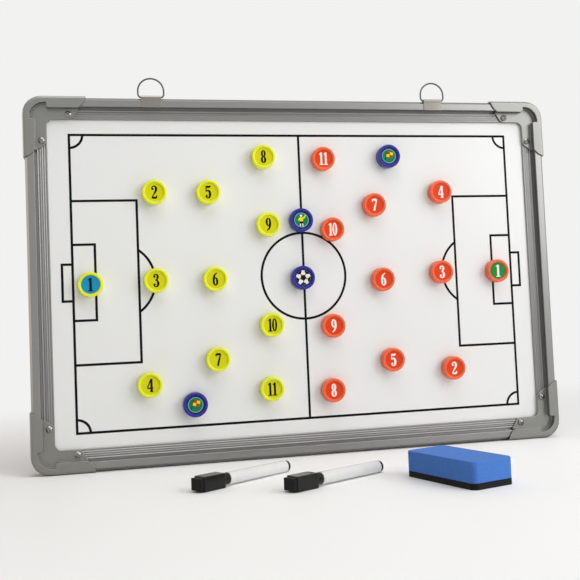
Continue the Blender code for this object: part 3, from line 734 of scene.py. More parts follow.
def combined(solids, operation="UNION"):
    """Melt solids into the first, or cut them from it, as one closed body."""
    meshes = []
    for solid in solids:
        meshes.append(bpy.data.meshes.new("part"))
        solid.to_mesh(meshes[-1])
        solid.free()
    base = new_object("part", meshes[0])
    tools = bpy.data.collections.new("tools")
    for mesh in meshes[1:]:
        tools.objects.link(bpy.data.objects.new("tool", mesh))
    modifier = base.modifiers.new(operation.title(), "BOOLEAN")
    modifier.operation = operation
    modifier.operand_type = "COLLECTION"
    modifier.collection = tools
    bpy.context.view_layer.update()
    depsgraph = bpy.context.evaluated_depsgraph_get()
    bm = bmesh.new()
    bm.from_mesh(base.evaluated_get(depsgraph).data)
    for mesh in meshes:
        bpy.data.meshes.remove(mesh)
    bpy.data.collections.remove(tools)
    bm = put_in_order(bm)
    bmesh.ops.remove_doubles(bm, verts=bm.verts, dist=WELD)
    bmesh.ops.dissolve_limit(bm, angle_limit=math.radians(0.5), verts=bm.verts, edges=bm.edges)
    return bm


def merged_copy(node):
    """A CAD node's mesh in millimetres, with its loose triangles joined."""
    bm = bmesh.new()
    bm.from_mesh(frame["nodes"][node].data)
    bmesh.ops.scale(bm, vec=(1 / MM,) * 3, verts=bm.verts)
    bmesh.ops.remove_doubles(bm, verts=bm.verts, dist=CAD_WELD)
    bmesh.ops.dissolve_limit(bm, angle_limit=math.radians(1), verts=bm.verts, edges=bm.edges)
    return bm


def finish_piece(name, solids, body, place=Matrix(), sharp=30.0, replaced=()):
    """Make one piece of some (solid, material) pairs and let it ride on a CAD body."""
    mesh = bpy.data.meshes.new(name)
    whole = bmesh.new()
    for index, (solid, material) in enumerate(solids):
        for face in solid.faces:
            face.material_index = index
        part = bpy.data.meshes.new("part")
        solid.to_mesh(part)
        whole.from_mesh(part)
        bpy.data.meshes.remove(part)
        mesh.materials.append(material)
    bmesh.ops.transform(whole, matrix=Matrix.Scale(MM, 4) @ place, verts=whole.verts)
    whole.to_mesh(mesh)
    whole.free()
    mesh.shade_smooth()
    mesh.set_sharp_from_angle(angle=math.radians(sharp))
    obj = new_object(name, mesh)
    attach(obj, body)
    flats = obj.modifiers.new("Even flats", "WEIGHTED_NORMAL")
    flats.keep_sharp = True
    if replaced:
        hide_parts(*replaced)
    return obj


def coat_node(node, material):
    """Give a CAD node's mesh a material."""
    slots = frame["nodes"][node].data.materials
    slots.clear()
    slots.append(material)


def dress_panel():
    """Finish the panel's three sheets and print the pitch on its face."""
    for node, material in (("face_sheet", white_lacquer()), ("core_board", fibreboard()),
                           ("back_sheet", galvanised_steel())):
        coat_node(node, material)
    half_x = size("pitch_width") / 2
    half_z = size("pitch_height") / 2
    lines = pitch_lines(half_x, half_z, size("line_width"))
    low, high = box("face_sheet")
    middle = (low + high) / 2
    place = Matrix.Translation((middle.x, low.y, middle.z)) @ UPRIGHT
    finish_piece("pitch_lines", [(combined(lines), printing_ink("ink"))], "board", place)


def pitch_lines(half_x, half_z, line):
    """Flat bars for the lines of a football pitch about its middle."""
    width = 2 * half_x
    low, high = -INK_THICK, INK_THICK
    edge = line / 2
    bars = [(-half_x, -half_z, half_x, -half_z), (-half_x, half_z, half_x, half_z),
            (-half_x, -half_z, -half_x, half_z), (half_x, -half_z, half_x, half_z),
            (0, -half_z, 0, half_z)]
    for side in (-1, 1):
        end = side * half_x
        for depth, half in ((PENALTY_DEPTH, PENALTY_HALF), (GOAL_AREA_DEPTH, GOAL_AREA_HALF),
                            (-GOAL_DEPTH, GOAL_HALF)):
            far = end - side * depth * width
            reach = half * width
            bars += [(end, reach, far, reach), (end, -reach, far, -reach),
                     (far, -reach, far, reach)]
    solids = [block((min(x1, x2) - edge, min(z1, z2) - edge, low),
                    (max(x1, x2) + edge, max(z1, z2) + edge, high)) for x1, z1, x2, z2 in bars]
    solids.append(bent_bar((0, 0), CENTRE_RADIUS * width, line, 0, 360, low, high))
    chord = ARC_HALF_CHORD * width
    bulge = ARC_BULGE * width
    radius = (chord * chord + bulge * bulge) / (2 * bulge)
    sweep = math.degrees(math.asin(chord / radius))
    for side, heading in ((-1, 0), (1, 180)):
        front = side * (half_x - PENALTY_DEPTH * width)
        centre = (front - side * (bulge - radius), 0)
        solids.append(bent_bar(centre, radius, line, heading - sweep, heading + sweep, low, high))
    for side, up, turn in ((-1, -1, 0), (1, -1, 90), (1, 1, 180), (-1, 1, 270)):
        solids.append(bent_bar((side * half_x, up * half_z), size("corner_arc"), line, turn,
                               turn + 90, low, high))
    return solids


def dress_rails():
    """Four rails with rounded edges."""
    for side, along in (("top", "x"), ("bottom", "x"), ("left", "z"), ("right", "z")):
        node = f"rail_{side}"
        bm = merged_copy(node)
        round_edges(bm, edges_sharper(bm), size("rail_edge"), segments=2)
        finish_piece(f"{node}_extrusion", [(bm, anodised_aluminium(along))], "board",
                     replaced=[node])


def dress_caps():
    """Four corner caps with rounded edges."""
    for corner in ("top_left", "top_right", "bottom_left", "bottom_right"):
        node = f"corner_{corner}"
        bm = merged_copy(node)
        round_edges(bm, edges_sharper(bm), size("cap_edge"), segments=3)
        finish_piece(f"{node}_moulding", [(bm, moulded_abs())], "board", replaced=[node])


def screw_solid():
    """A pan-head screw with a cross recess, its head's underside at the origin."""
    dome = (SCREW_HEAD_RADIUS ** 2 + SCREW_CROWN ** 2) / (2 * SCREW_CROWN)
    fall = math.degrees(math.asin(SCREW_HEAD_RADIUS / dome))
    head = arc((0, SCREW_HEAD_HEIGHT - dome), dome, 90, 90 - fall, 8)
    head += [(SCREW_HEAD_RADIUS, SCREW_HEAD_CHAMFER), (SCREW_HEAD_RADIUS - SCREW_HEAD_CHAMFER, 0)]
    depth = -SCREW_NECK
    root = SCREW_SHANK_RADIUS * THREAD_ROOT_SHARE
    shank = [(SCREW_SHANK_RADIUS, 0), (root, depth)]
    while depth - SCREW_PITCH > SCREW_TIP - SCREW_LENGTH:
        shank += [(SCREW_SHANK_RADIUS, depth - SCREW_PITCH / 2), (root, depth - SCREW_PITCH)]
        depth -= SCREW_PITCH
    solids = [spun(head + shank + [(0, -SCREW_LENGTH)], SCREW_SIDES)]
    for turn in (0, 90):
        reach = Vector((CROSS_REACH, CROSS_WIDTH / 2, CROSS_DEPTH))
        slot = block(-reach, reach)
        deep = [vert for vert in slot.verts if vert.co.z < 0]
        bmesh.ops.scale(slot, vec=CROSS_TAPER, verts=deep)
        bmesh.ops.rotate(slot, matrix=Matrix.Rotation(math.radians(turn), 3, "Z"),
                         verts=slot.verts)
        bmesh.ops.translate(slot, vec=(0, 0, SCREW_HEAD_HEIGHT), verts=slot.verts)
        solids.append(slot)
    return combined(solids, "DIFFERENCE")


def dress_screws():
    """Eight cap screws, each turned to its own angle."""
    solid = screw_solid()
    names = sorted(node for node in frame["nodes"] if node.startswith("screw_"))
    for index, node in enumerate(names):
        low, high = box(node)
        middle = (low + high) / 2
        turn = Matrix.Rotation(math.radians(SCREW_TURN * index), 4, "Z")
        place = Matrix.Translation((middle.x, high.y - SCREW_LENGTH, middle.z)) @ UPRIGHT @ turn
        finish_piece(f"{node}_pan_head", [(solid, plated_nickel())], "board", place, sharp=25,
                     replaced=[node])


def clip_path(ring_y, ring_z, rail_top, rail_back):
    """Side view of a strip bent round the ring's bar and the rail, from its front edge."""
    offset = GAP + CLIP_SHEET / 2
    front = ring_y - CLIP_BEND
    back = rail_back + offset
    drop = math.degrees(math.asin(offset / (CLIP_BEND + offset)))
    run = (CLIP_BEND + offset) * math.cos(math.radians(drop))
    path = [(front, rail_top - CLIP_FRONT_DROP)]
    path += arc((ring_y, ring_z), CLIP_BEND, 180, drop, 16)
    path += arc((ring_y + run, ring_z + offset), offset, 180 + drop, 270, 4)[1:]
    path += arc((back - offset, ring_z - offset), offset, 90, 0, 6)
    path += [(back, rail_top - CLIP_BACK_DROP)]
    return path


def clip_strip(path, left, right):
    """A strip as broad as the clip along its side view, with a panel sunk in its front."""
    bm = bmesh.new()
    edges = chain(bm, [(left, y, z) for y, z in path])
    strip = bmesh.ops.extrude_edge_only(bm, edges=edges)
    bmesh.ops.translate(bm, vec=(right - left, 0, 0), verts=verts_in(strip["geom"]))
    bmesh.ops.recalc_face_normals(bm, faces=bm.faces)
    front = min(bm.faces, key=lambda face: (round(face.calc_center_median().y, 3),
                                            -face.calc_area()))
    inward = -CLIP_PANEL_DEPTH if front.normal.y < 0 else CLIP_PANEL_DEPTH
    for margin, depth in ((CLIP_PANEL_MARGIN, 0), (CLIP_PANEL_DEPTH, inward)):
        bmesh.ops.inset_region(bm, faces=[front], thickness=margin, depth=depth,
                               use_even_offset=True)
    bmesh.ops.recalc_face_normals(bm, faces=bm.faces)
    return bm


def dress_clips():
    """Two hanger clips of bent steel strip."""
    joints = {joint["name"]: joint for joint in frame["joints"]}
    rail = box("rail_top")[1]
    for side in ("left", "right"):
        node = f"hanger_clip_{side}"
        low, high = box(node)
        _, ring_y, ring_z = (value / MM for value in joints[f"ring_{side}_swing"]["pos_m"])
        strip = clip_strip(clip_path(ring_y, ring_z, rail.z, rail.y), low.x, high.x)
        piece = finish_piece(f"{node}_strip", [(strip, pressed_steel())], "board", sharp=40,
                             replaced=[node])
        solidify = piece.modifiers.new("Thickness", "SOLIDIFY")
        solidify.thickness = CLIP_SHEET * MM
        solidify.offset = 0
        solidify.use_even_offset = True
        bevel = piece.modifiers.new("Rounding", "BEVEL")
        bevel.width = CLIP_EDGE * MM
        bevel.segments = 2
        bevel.limit_method = "ANGLE"
        bevel.angle_limit = math.radians(50)
        piece.modifiers.move(0, len(piece.modifiers) - 1)


def ring_solid():
    """A round wire bent to a D, its straight bar along X through the origin."""
    half = RING_WIDTH / 2 - WIRE_RADIUS
    bar = half - RING_CORNER
    arch = RING_HEIGHT - WIRE_RADIUS - half
    bm = bmesh.new()
    bmesh.ops.create_circle(bm, segments=WIRE_SIDES, radius=WIRE_RADIUS,
                            matrix=Matrix.Rotation(math.radians(90), 4, "Y"))
    section = bm.edges[:]
    rise = arch - RING_CORNER
    moves = (((bar, 0, 0), None, 0), (None, (bar, 0, RING_CORNER), 90), ((0, 0, rise), None, 0),
             (None, (0, 0, arch), 180), ((0, 0, -rise), None, 0),
             (None, (-bar, 0, RING_CORNER), 90), ((bar, 0, 0), None, 0))
    for run, centre, angle in moves:
        if centre is None:
            made = bmesh.ops.extrude_edge_only(bm, edges=section)["geom"]
            verts = verts_in(made)
            bmesh.ops.translate(bm, vec=run, verts=verts)
            section = [edge for edge in edges_in(made) if all(vert in verts for vert in edge.verts)]
        else:
            verts = list({vert for edge in section for vert in edge.verts})
            bend = bmesh.ops.spin(bm, geom=verts + section, cent=centre, axis=(0, -1, 0),
                                  angle=math.radians(angle), steps=angle // WIRE_BEND_STEP)
            section = edges_in(bend["geom_last"])
    bmesh.ops.remove_doubles(bm, verts=bm.verts, dist=WELD)
    bmesh.ops.recalc_face_normals(bm, faces=bm.faces)
    return bm


def dress_rings():
    """Two wire rings, standing on their bars."""
    solid = ring_solid()
    for joint in frame["joints"]:
        if joint["child"].startswith("ring_"):
            side = joint["child"].removeprefix("ring_")
            place = Matrix.Translation(Vector(joint["pos_m"]) / MM)
            finish_piece(f"hanger_ring_{side}_wire", [(solid, drawn_wire())], joint["child"],
                         place, sharp=60, replaced=[f"hanger_ring_{side}"])


def counter_solids(radius, height, sides):
    """A counter's moulding and its magnet, with the base at the origin."""
    floor = height - DISH_DEPTH
    inner = radius - RIM_WIDTH
    foot = inner - DISH_FILLET - DISH_DRAFT
    seat = MAGNET_RADIUS + GAP
    profile = [(0, floor), (foot, floor)]
    profile += arc((foot, floor + DISH_FILLET), DISH_FILLET, -80, -15, 4)
    profile += arc((inner + RIM_INNER_ROUND, height - RIM_INNER_ROUND), RIM_INNER_ROUND, 170, 90, 5)
    profile += arc((radius - RIM_ROUND, height - RIM_ROUND), RIM_ROUND, 90, 0, 6)
    profile += [(radius, FOOT_CHAMFER), (radius - FOOT_CHAMFER, 0), (seat, 0), (seat, MAGNET_SEAT),
                (0, MAGNET_SEAT)]
    top = MAGNET_SEAT - MAGNET_GLUE
    shoulder = MAGNET_RADIUS - MAGNET_CHAMFER
    magnet = [(0, top), (shoulder, top), (MAGNET_RADIUS, top - MAGNET_CHAMFER),
              (MAGNET_RADIUS, MAGNET_BASE + MAGNET_CHAMFER), (shoulder, MAGNET_BASE),
              (0, MAGNET_BASE)]
    return spun(profile, sides), spun(magnet, sides // 2)


def counter_place(node):
    """Where a counter's base is, with Z out of the board, and its radius and height."""
    low, high = box(node)
    middle = (low + high) / 2
    place = Matrix.Translation((middle.x, high.y, middle.z)) @ UPRIGHT
    return place, (high.x - low.x) / 2, high.y - low.y


def counter_nodes():
    """Names of the counters, in order."""
    return sorted(node for node in frame["nodes"] if "_counter_" in node)


def dress_counters():
    """Twenty-six moulded counters with magnets in their bases."""
    sides = bpy.context.scene.board_sizes.turned_sides
    solids = None
    for node in counter_nodes():
        place, radius, height = counter_place(node)
        solids = solids or counter_solids(radius, height, sides)
        tone = node.split("_")[0]
        pairs = [(solids[0], moulded_styrene(tone)), (solids[1], ground_ferrite())]
        finish_piece(f"{node}_moulding", pairs, node, place, sharp=40, replaced=[node])


OVAL_POINTS = 16
OVAL_SWELL = 1.5


def oval(x, y, across, up, thick, thin):
    """A closed loop stroke, broad at its sides and fine at its top and bottom."""
    points = []
    for i in range(OVAL_POINTS):
        angle = math.tau * i / OVAL_POINTS
        width = thin + (thick - thin) * abs(math.cos(angle)) ** OVAL_SWELL
        points.append((x + across * math.cos(angle), y + up * math.sin(angle), width))
    return points


# Numerals on a grid 100 high: strokes of (x, y, width) points, closed loops and round ends as
# (x, y, radius)
NUMERALS = {
    "0": {"loops": [oval(23, 50, 14.5, 47.5, 15, 5)]},
    "1": {"strokes": [[(26, 2, 16), (26, 50, 16), (26, 99, 16)],
                      [(7, 84, 5), (17, 89, 5), (28, 98, 6)], [(7, 2.5, 5), (45, 2.5, 5)]]},
    "2": {"strokes": [[(5.5, 76, 5), (9, 90, 6), (22, 97, 6), (34, 90, 12), (38, 74, 16),
                       (32, 53, 12), (17, 30, 6), (5, 8, 5)],
                      [(4, 7, 8), (14, 8, 14), (28, 6.5, 13), (38, 9, 10), (43, 25, 4)]],
          "balls": [(11, 75, 7)]},
    "3": {"strokes": [[(6, 81, 5), (11, 93, 6), (21, 97, 6), (32, 90, 11), (35, 76, 14),
                       (30, 60, 9), (17, 53, 5)],
                      [(17, 53, 5), (31, 47, 9), (38, 29, 16), (33, 9, 12), (20, 3, 6),
                       (9, 8, 5), (5, 18, 5)]],
          "balls": [(11, 79, 6.5), (10.5, 20, 7)]},
    "4": {"strokes": [[(33, 2, 14), (33, 50, 14), (33, 98, 14)],
                      [(31, 97, 7), (16, 63, 6), (3, 31, 6)], [(1, 28, 7), (46, 28, 7)],
                      [(20, 2.5, 5), (45, 2.5, 5)]]},
    "5": {"strokes": [[(9, 90, 13), (24, 89, 15), (35, 91, 12), (42, 98, 4)],
                      [(8, 96, 5), (7, 74, 5), (7, 52, 5)],
                      [(7, 53, 5), (18, 61, 8), (31, 55, 13), (37, 34, 16), (32, 11, 13),
                       (20, 3, 6), (8, 8, 5), (5, 18, 5)]],
          "balls": [(10.5, 19, 7)]},
    "6": {"loops": [oval(23, 31, 13.5, 28.5, 14, 5)],
          "strokes": [[(9.5, 30, 14), (10, 54, 14), (16, 77, 11), (27, 92, 7), (37, 98, 4)]]},
    "7": {"strokes": [[(5, 74, 5), (7, 88, 9), (16, 91, 14), (32, 90, 14), (42, 93, 8)],
                      [(42, 92, 5), (34, 66, 9), (26, 38, 11), (20, 12, 12), (18, 1, 11)]]},
    "8": {"loops": [oval(23, 74, 11.5, 23.5, 13, 5), oval(23, 26, 13.5, 23.5, 15, 5)]},
}
NUMERAL_GRID = 100.0
NUMERAL_WIDTH = 46.0
NUMERAL_WEIGHT = 3.0
PAIR_NARROWING = 0.86
PAIR_OVERLAP = 3.0
BALL_SIDES = 20

# The nine is the six upside down
NUMERALS["9"] = {
    kind: [[(NUMERAL_WIDTH - x, NUMERAL_GRID - y, width) for x, y, width in points]
           for points in strokes]
    for kind, strokes in NUMERALS["6"].items()}


def smooth_path(points, closed, steps=6):
    """Points on a smooth curve through (x, y, width) points."""
    values = [Vector(point) for point in points]
    count = len(values)
    path = []
    for i in range(count if closed else count - 1):
        if closed:
            before, start, stop, after = (values[(i + k) % count] for k in (-1, 0, 1, 2))
        else:
            before, start, stop, after = (values[min(max(i + k, 0), count - 1)]
                                          for k in (-1, 0, 1, 2))
        for step in range(steps):
            t = step / steps
            path.append(0.5 * (2 * start + (stop - before) * t
                               + (2 * before - 5 * start + 4 * stop - after) * t ** 2
                               + (3 * start - before - 3 * stop + after) * t ** 3))
    return path if closed else path + [values[-1]]


def brush_stroke(points, closed):
    """A flat stroke that is as broad at each point as its width says."""
    path = smooth_path(points, closed)
    count = len(path)
    sides = ([], [])
    for i, point in enumerate(path):
        ahead = path[(i + 1) % count] if closed else path[min(i + 1, count - 1)]
        behind = path[i - 1] if closed else path[max(i - 1, 0)]
        run = (ahead - behind).to_2d().normalized()
        across = Vector((-run.y, run.x)) * (point.z + NUMERAL_WEIGHT) / 2
        sides[0].append(point.to_2d() + across)
        sides[1].append(point.to_2d() - across)
    bm = bmesh.new()
    edges = chain(bm, sides[0], closed) + chain(bm, sides[1], closed)
    bmesh.ops.bridge_loops(bm, edges=edges)
    return bm


def numeral_solid(digit):
    """One numeral as a thin plate, on the numerals' grid."""
    drawing = NUMERALS[digit]
    thick = INK_THICK * NUMERAL_GRID / size("numeral_height")
    solids = [raised(brush_stroke(points, True), 0, thick) for points in drawing.get("loops", ())]
    solids += [raised(brush_stroke(points, False), 0, thick)
               for points in drawing.get("strokes", ())]
    solids += [disc(radius + NUMERAL_WEIGHT / 2, 0, thick, BALL_SIDES, (x, y))
               for x, y, radius in drawing.get("balls", ())]
    return combined(solids)


def number_solid(number, digits):
    """A whole number, centred on the origin, in millimetres."""
    text = str(number)
    narrow = PAIR_NARROWING if len(text) > 1 else 1.0
    step = (NUMERAL_WIDTH - PAIR_OVERLAP) * narrow
    whole = bmesh.new()
    for index, digit in enumerate(text):
        mesh = bpy.data.meshes.new("digit")
        digits[digit].to_mesh(mesh)
        start = len(whole.verts)
        whole.from_mesh(mesh)
        bpy.data.meshes.remove(mesh)
        whole.verts.ensure_lookup_table()
        verts = whole.verts[start:]
        bmesh.ops.scale(whole, vec=(narrow, 1, 1), verts=verts)
        bmesh.ops.translate(whole, vec=(step * index, 0, 0), verts=verts)
    middle = (min(v.co.x for v in whole.verts) + max(v.co.x for v in whole.verts)) / 2
    bmesh.ops.translate(whole, vec=(-middle, -NUMERAL_GRID / 2, 0), verts=whole.verts)
    bmesh.ops.scale(whole, vec=(size("numeral_height") / NUMERAL_GRID,) * 3, verts=whole.verts)
    return whole


def blank_label(node):
    """Where a counter's base is, its blank label, and the height of the label's top."""
    place, _, height = counter_place(node)
    floor = height - DISH_DEPTH
    top = floor + LABEL_THICK
    return place, disc(LABEL_RADIUS, floor + LABEL_GLUE, top, LABEL_SIDES), top


def dress_numbers():
    """Labels with numerals for the two teams, the goalkeepers' in colours of their own."""
    digits = {digit: numeral_solid(digit) for digit in NUMERALS}
    keeper_labels = {"yellow": "keeper_blue", "orange": "keeper_green"}
    inks = {"yellow": "ink", "orange": "white_ink"}
    for node in counter_nodes():
        if node.startswith("blue"):
            continue
        team, _, number = node.split("_")
        place, label, top = blank_label(node)
        figures = number_solid(int(number), digits)
        bmesh.ops.translate(figures, vec=(0, 0, top), verts=figures.verts)
        tone = keeper_labels[team] if int(number) == 1 else f"{team}_label"
        pairs = [(label, printed_label(tone)), (figures, printing_ink(inks[team]))]
        finish_piece(f"{node}_label", pairs, node, place)


# Printed football, as shares of its radius: the middle patch, the seams' ends, and the tip, the
# shoulders and the rim of an outer patch, whose rim spans twice the half angle in degrees
MIDDLE_PATCH = 0.43
SEAM_ENDS = (0.35, 0.7)
PATCH_TIP = 0.6
PATCH_SHOULDER = (0.78, 0.31)
PATCH_RIM = 0.99
PATCH_HALF_ANGLE = 24

# Half the printed width of a seam
SEAM_HALF = 0.32


def football_solids(radius, low, high):
    """A traditional football seen from one side: a white disc and its black patches."""
    ball = disc(radius, low, high, LABEL_SIDES)
    patches = [disc(radius * MIDDLE_PATCH, high, high + INK_THICK, 5)]
    bmesh.ops.rotate(patches[0], matrix=Matrix.Rotation(math.radians(-90), 3, "Z"),
                     verts=patches[0].verts)
    near, far = (radius * share for share in SEAM_ENDS)
    out, across = (radius * share for share in PATCH_SHOULDER)
    for heading in range(-90, 270, 72):
        angle = math.radians(heading)
        tip = Vector((math.cos(angle), math.sin(angle)))
        side = Vector((-tip.y, tip.x))
        edge = side * SEAM_HALF
        seam = [tip * near - edge, tip * far - edge, tip * far + edge, tip * near + edge]
        patches.append(plate(seam, high, high + INK_THICK))
        patch = [tip * radius * PATCH_TIP, tip * out + side * across]
        patch += arc((0, 0), radius * PATCH_RIM, heading + PATCH_HALF_ANGLE,
                     heading - PATCH_HALF_ANGLE, 8)
        patch += [tip * out - side * across]
        patches.append(plate(patch, high, high + INK_THICK))
    return [(ball, printing_ink("white_ink")), (combined(patches), printing_ink("ink"))]


# Green ground of a printed picture, as a share of the ring round it
PICTURE_GROUND = 0.9


def picture_ground(radius, low, high):
    """The green ground of a picture and the ring round it."""
    ground = disc(radius * PICTURE_GROUND, high - INK_THICK, high + INK_THICK / 2, LABEL_SIDES)
    return [(disc(radius, low, high, LABEL_SIDES), printing_ink("picture_edge")),
            (ground, printing_ink("picture_green"))]


# Outlines of the official's sign, and its head as a middle and a radius, as shares of the
# picture's radius
SHIRT = ((-0.36, 0.28), (-0.2, 0.36), (0.14, 0.36), (0.3, 0.42), (0.52, 0.72), (0.66, 0.62),
         (0.44, 0.24), (0.24, 0.12), (0.22, -0.18), (-0.24, -0.18), (-0.26, 0.04),
         (-0.36, -0.1), (-0.5, -0.04))
SHORTS = ((-0.24, -0.18), (0.22, -0.18), (0.26, -0.48), (0.04, -0.48), (0.0, -0.3),
          (-0.06, -0.48), (-0.28, -0.48))
LEGS = (((-0.24, -0.48), (-0.1, -0.48), (-0.12, -0.86), (-0.24, -0.86)),
        ((0.08, -0.48), (0.22, -0.48), (0.24, -0.86), (0.12, -0.86)))
HEAD = ((-0.03, 0.58), 0.17)


def official_solids(radius, low, high):
    """A plain sign of an official with one arm raised, on a green ground."""
    top = high + INK_THICK
    shirt, shorts, *legs = (plate([(x * radius, y * radius) for x, y in outline], high, top)
                            for outline in (SHIRT, SHORTS, *LEGS))
    (x, y), head_radius = HEAD
    head = disc(head_radius * radius, high, top, BALL_SIDES, (x * radius, y * radius))
    return picture_ground(radius, low, high) + [
        (shirt, printing_ink("picture_yellow")), (shorts, printing_ink("ink")),
        (combined([head] + legs), printing_ink("white_ink"))]


# The flag's lean in degrees, and its pole and four quarters, each as an ink and two corners in
# shares of the picture's radius
FLAG_LEAN = -14
FLAG_PARTS = (("ink", (-0.46, -0.72), (-0.38, 0.62)),
              ("picture_red", (-0.38, 0.22), (0.06, 0.6)),
              ("picture_red", (0.06, -0.16), (0.5, 0.22)),
              ("picture_yellow", (-0.38, -0.16), (0.06, 0.22)),
              ("picture_yellow", (0.06, 0.22), (0.5, 0.6)))


def flag_solids(radius, low, high):
    """A plain quartered flag on its pole, on a green ground."""
    lean = Matrix.Rotation(math.radians(FLAG_LEAN), 3, "Z")
    pairs = picture_ground(radius, low, high)
    for tone, (left, bottom), (right, top) in FLAG_PARTS:
        part = block((left * radius, bottom * radius, high),
                     (right * radius, top * radius, high + INK_THICK))
        bmesh.ops.rotate(part, matrix=lean, verts=part.verts)
        pairs.append((part, printing_ink(tone)))
    return pairs


def dress_pictures():
    """Labels with pictures for the blue counters."""
    drawings = {"ball": football_solids, "official": official_solids,
                "left": flag_solids, "right": flag_solids}
    for node in counter_nodes():
        if not node.startswith("blue"):
            continue
        place, label, top = blank_label(node)
        picture = drawings[node.split("_")[-1]](size("picture_width") / 2, top, top + INK_THICK)
        finish_piece(f"{node}_label", [(label, printed_label("blue_label"))] + picture, node,
                     place)


def pen_place(pen):
    """The pen's own frame: Z runs along it from the front of its cap, and X points down."""
    pull = next(joint for joint in frame["joints"] if joint["name"] == f"{pen}_cap_pull")
    along = -Vector(pull["axis"]).normalized()
    down = Vector((0, 0, -1))
    down = (down - along * down.dot(along)).normalized()
    turn = Matrix((down, along.cross(down), along))
    tail = [turn @ vert.co / MM for vert in frame["nodes"][f"{pen}_plug"].data.vertices]
    middle = [(min(values) + max(values)) / 2 for values in list(zip(*tail))[:2]]
    start = min(vert.co.dot(along) / MM for vert in frame["nodes"][f"{pen}_cap"].data.vertices)
    origin = turn.transposed() @ Vector((*middle, start + PAD[0]))
    return Matrix.Translation(origin) @ turn.transposed().to_4x4()


def pen_cap_solid():
    """The cap's block and its grooved collar, bored from behind."""
    length, width, height = BLOCK
    body = block((-height / 2, -width / 2, 0), (height / 2, width / 2, length))
    round_edges(body, body.edges[:], BLOCK_ROUND, segments=4)
    mouth = length + COLLAR_LENGTH
    profile = [(0, mouth)]
    profile += arc((COLLAR_RADIUS - COLLAR_LIP, mouth - COLLAR_LIP), COLLAR_LIP, 90, 0, 3)
    profile += [(COLLAR_RADIUS - sunk, mouth - depth) for depth, sunk in
                zip(COLLAR_GROOVE, (0, COLLAR_GROOVE_DEPTH, COLLAR_GROOVE_DEPTH, 0))]
    profile += [(COLLAR_RADIUS, length - CAP_FLOOR), (0, length - CAP_FLOOR)]
    whole = combined([body, spun(profile, PEN_SIDES)])
    bore_radius = NECK_RADIUS + GAP
    bore = spun([(0, mouth + 1), (bore_radius, mouth + 1), (bore_radius, CAP_FLOOR),
                 (0, CAP_FLOOR)], PEN_SIDES)
    return combined([whole, bore], "DIFFERENCE")


def pen_pad_solid():
    """The wiping pad on the cap's end, slightly fuzzy."""
    depth, width, height = PAD
    pad = block((-height / 2, -width / 2, -depth), (height / 2, width / 2, PAD_SINK))
    bmesh.ops.subdivide_edges(pad, edges=pad.edges[:], cuts=PAD_CUTS, use_grid_fill=True)
    round_edges(pad, edges_sharper(pad, 60), PAD_ROUND, segments=2)
    roughen(pad, FUZZ_DEPTH, FUZZ_SPACING, lambda co: co.z < -0.1)
    return pad


def roughen(bm, depth, spacing, wanted):
    """Push wanted points in by an even noise of some depth and spacing."""
    bm.normal_update()
    moves = [(vert, vert.normal * depth * 0.5 * (noise.noise(vert.co / spacing) - 1))
             for vert in bm.verts if wanted(vert.co)]
    for vert, move in moves:
        vert.co += move


def pen_solids():
    """The pen's turned pieces, with Z from the cap to the tail."""
    mouth = BLOCK[0] + COLLAR_LENGTH + GAP
    neck = mouth - NECK_LENGTH
    tail = mouth + BARREL_LENGTH
    bore = BARREL_RADIUS - BARREL_WALL
    throat = NIB_RADIUS + GAP
    shoulder = mouth + SHOULDER
    edge = BARREL_RADIUS - BARREL_EDGE
    thinning, taper = NECK_TAPER
    barrel = arc((edge, tail - BARREL_EDGE), BARREL_EDGE, 90, 0, 4)
    barrel += arc((edge, mouth + BARREL_EDGE), BARREL_EDGE, 0, -90, 4)
    barrel += [(NECK_RADIUS, mouth), (NECK_RADIUS, neck + taper), (NECK_RADIUS - thinning, neck),
               (throat, neck), (throat, shoulder), (bore, shoulder), (bore, tail)]
    core_end = tail - PLUG_STUB - GAP
    core = [(0, core_end), (bore - GAP, core_end), (bore - GAP, shoulder + GAP),
            (NIB_RADIUS, shoulder + GAP), (NIB_RADIUS, NIB_REACH + NIB_RADIUS)]
    core += arc((0, NIB_REACH + NIB_RADIUS), NIB_RADIUS, 0, -90, 5)[1:]
    end = tail + GAP + PLUG_LENGTH
    dome = PLUG_LENGTH / 2
    plug = [(0, end), (PLUG_RADIUS - dome, end)]
    plug += arc((PLUG_RADIUS - dome, end - dome), dome, 90, 0, 6)[1:]
    plug += [(PLUG_RADIUS, tail + GAP), (bore - GAP, tail + GAP), (bore - GAP, tail - PLUG_STUB),
             (0, tail - PLUG_STUB)]
    return {"barrel": (spun(barrel, PEN_SIDES, True), moulded_polypropylene("white_plastic")),
            "ink_core": (spun(core, PEN_SIDES), soaked_fibre()),
            "plug": (spun(plug, PEN_SIDES), moulded_polypropylene("black_plastic"))}


def dress_pens():
    """Two pens with their caps and pads."""
    pieces = pen_solids()
    cap = pen_cap_solid()
    pad = pen_pad_solid()
    for pen in ("pen_1", "pen_2"):
        place = pen_place(pen)
        for part, pair in pieces.items():
            node = f"{pen}_{part}"
            finish_piece(f"{node}_turning", [pair], pen, place, sharp=35, replaced=[node])
        finish_piece(f"{pen}_cap_moulding", [(cap, moulded_polypropylene("black_plastic"))],
                     f"{pen}_cap", place, sharp=35, replaced=[f"{pen}_cap"])
        wiper = finish_piece(f"{pen}_cap_pad", [(pad, pressed_felt())], f"{pen}_cap", place,
                             sharp=50)


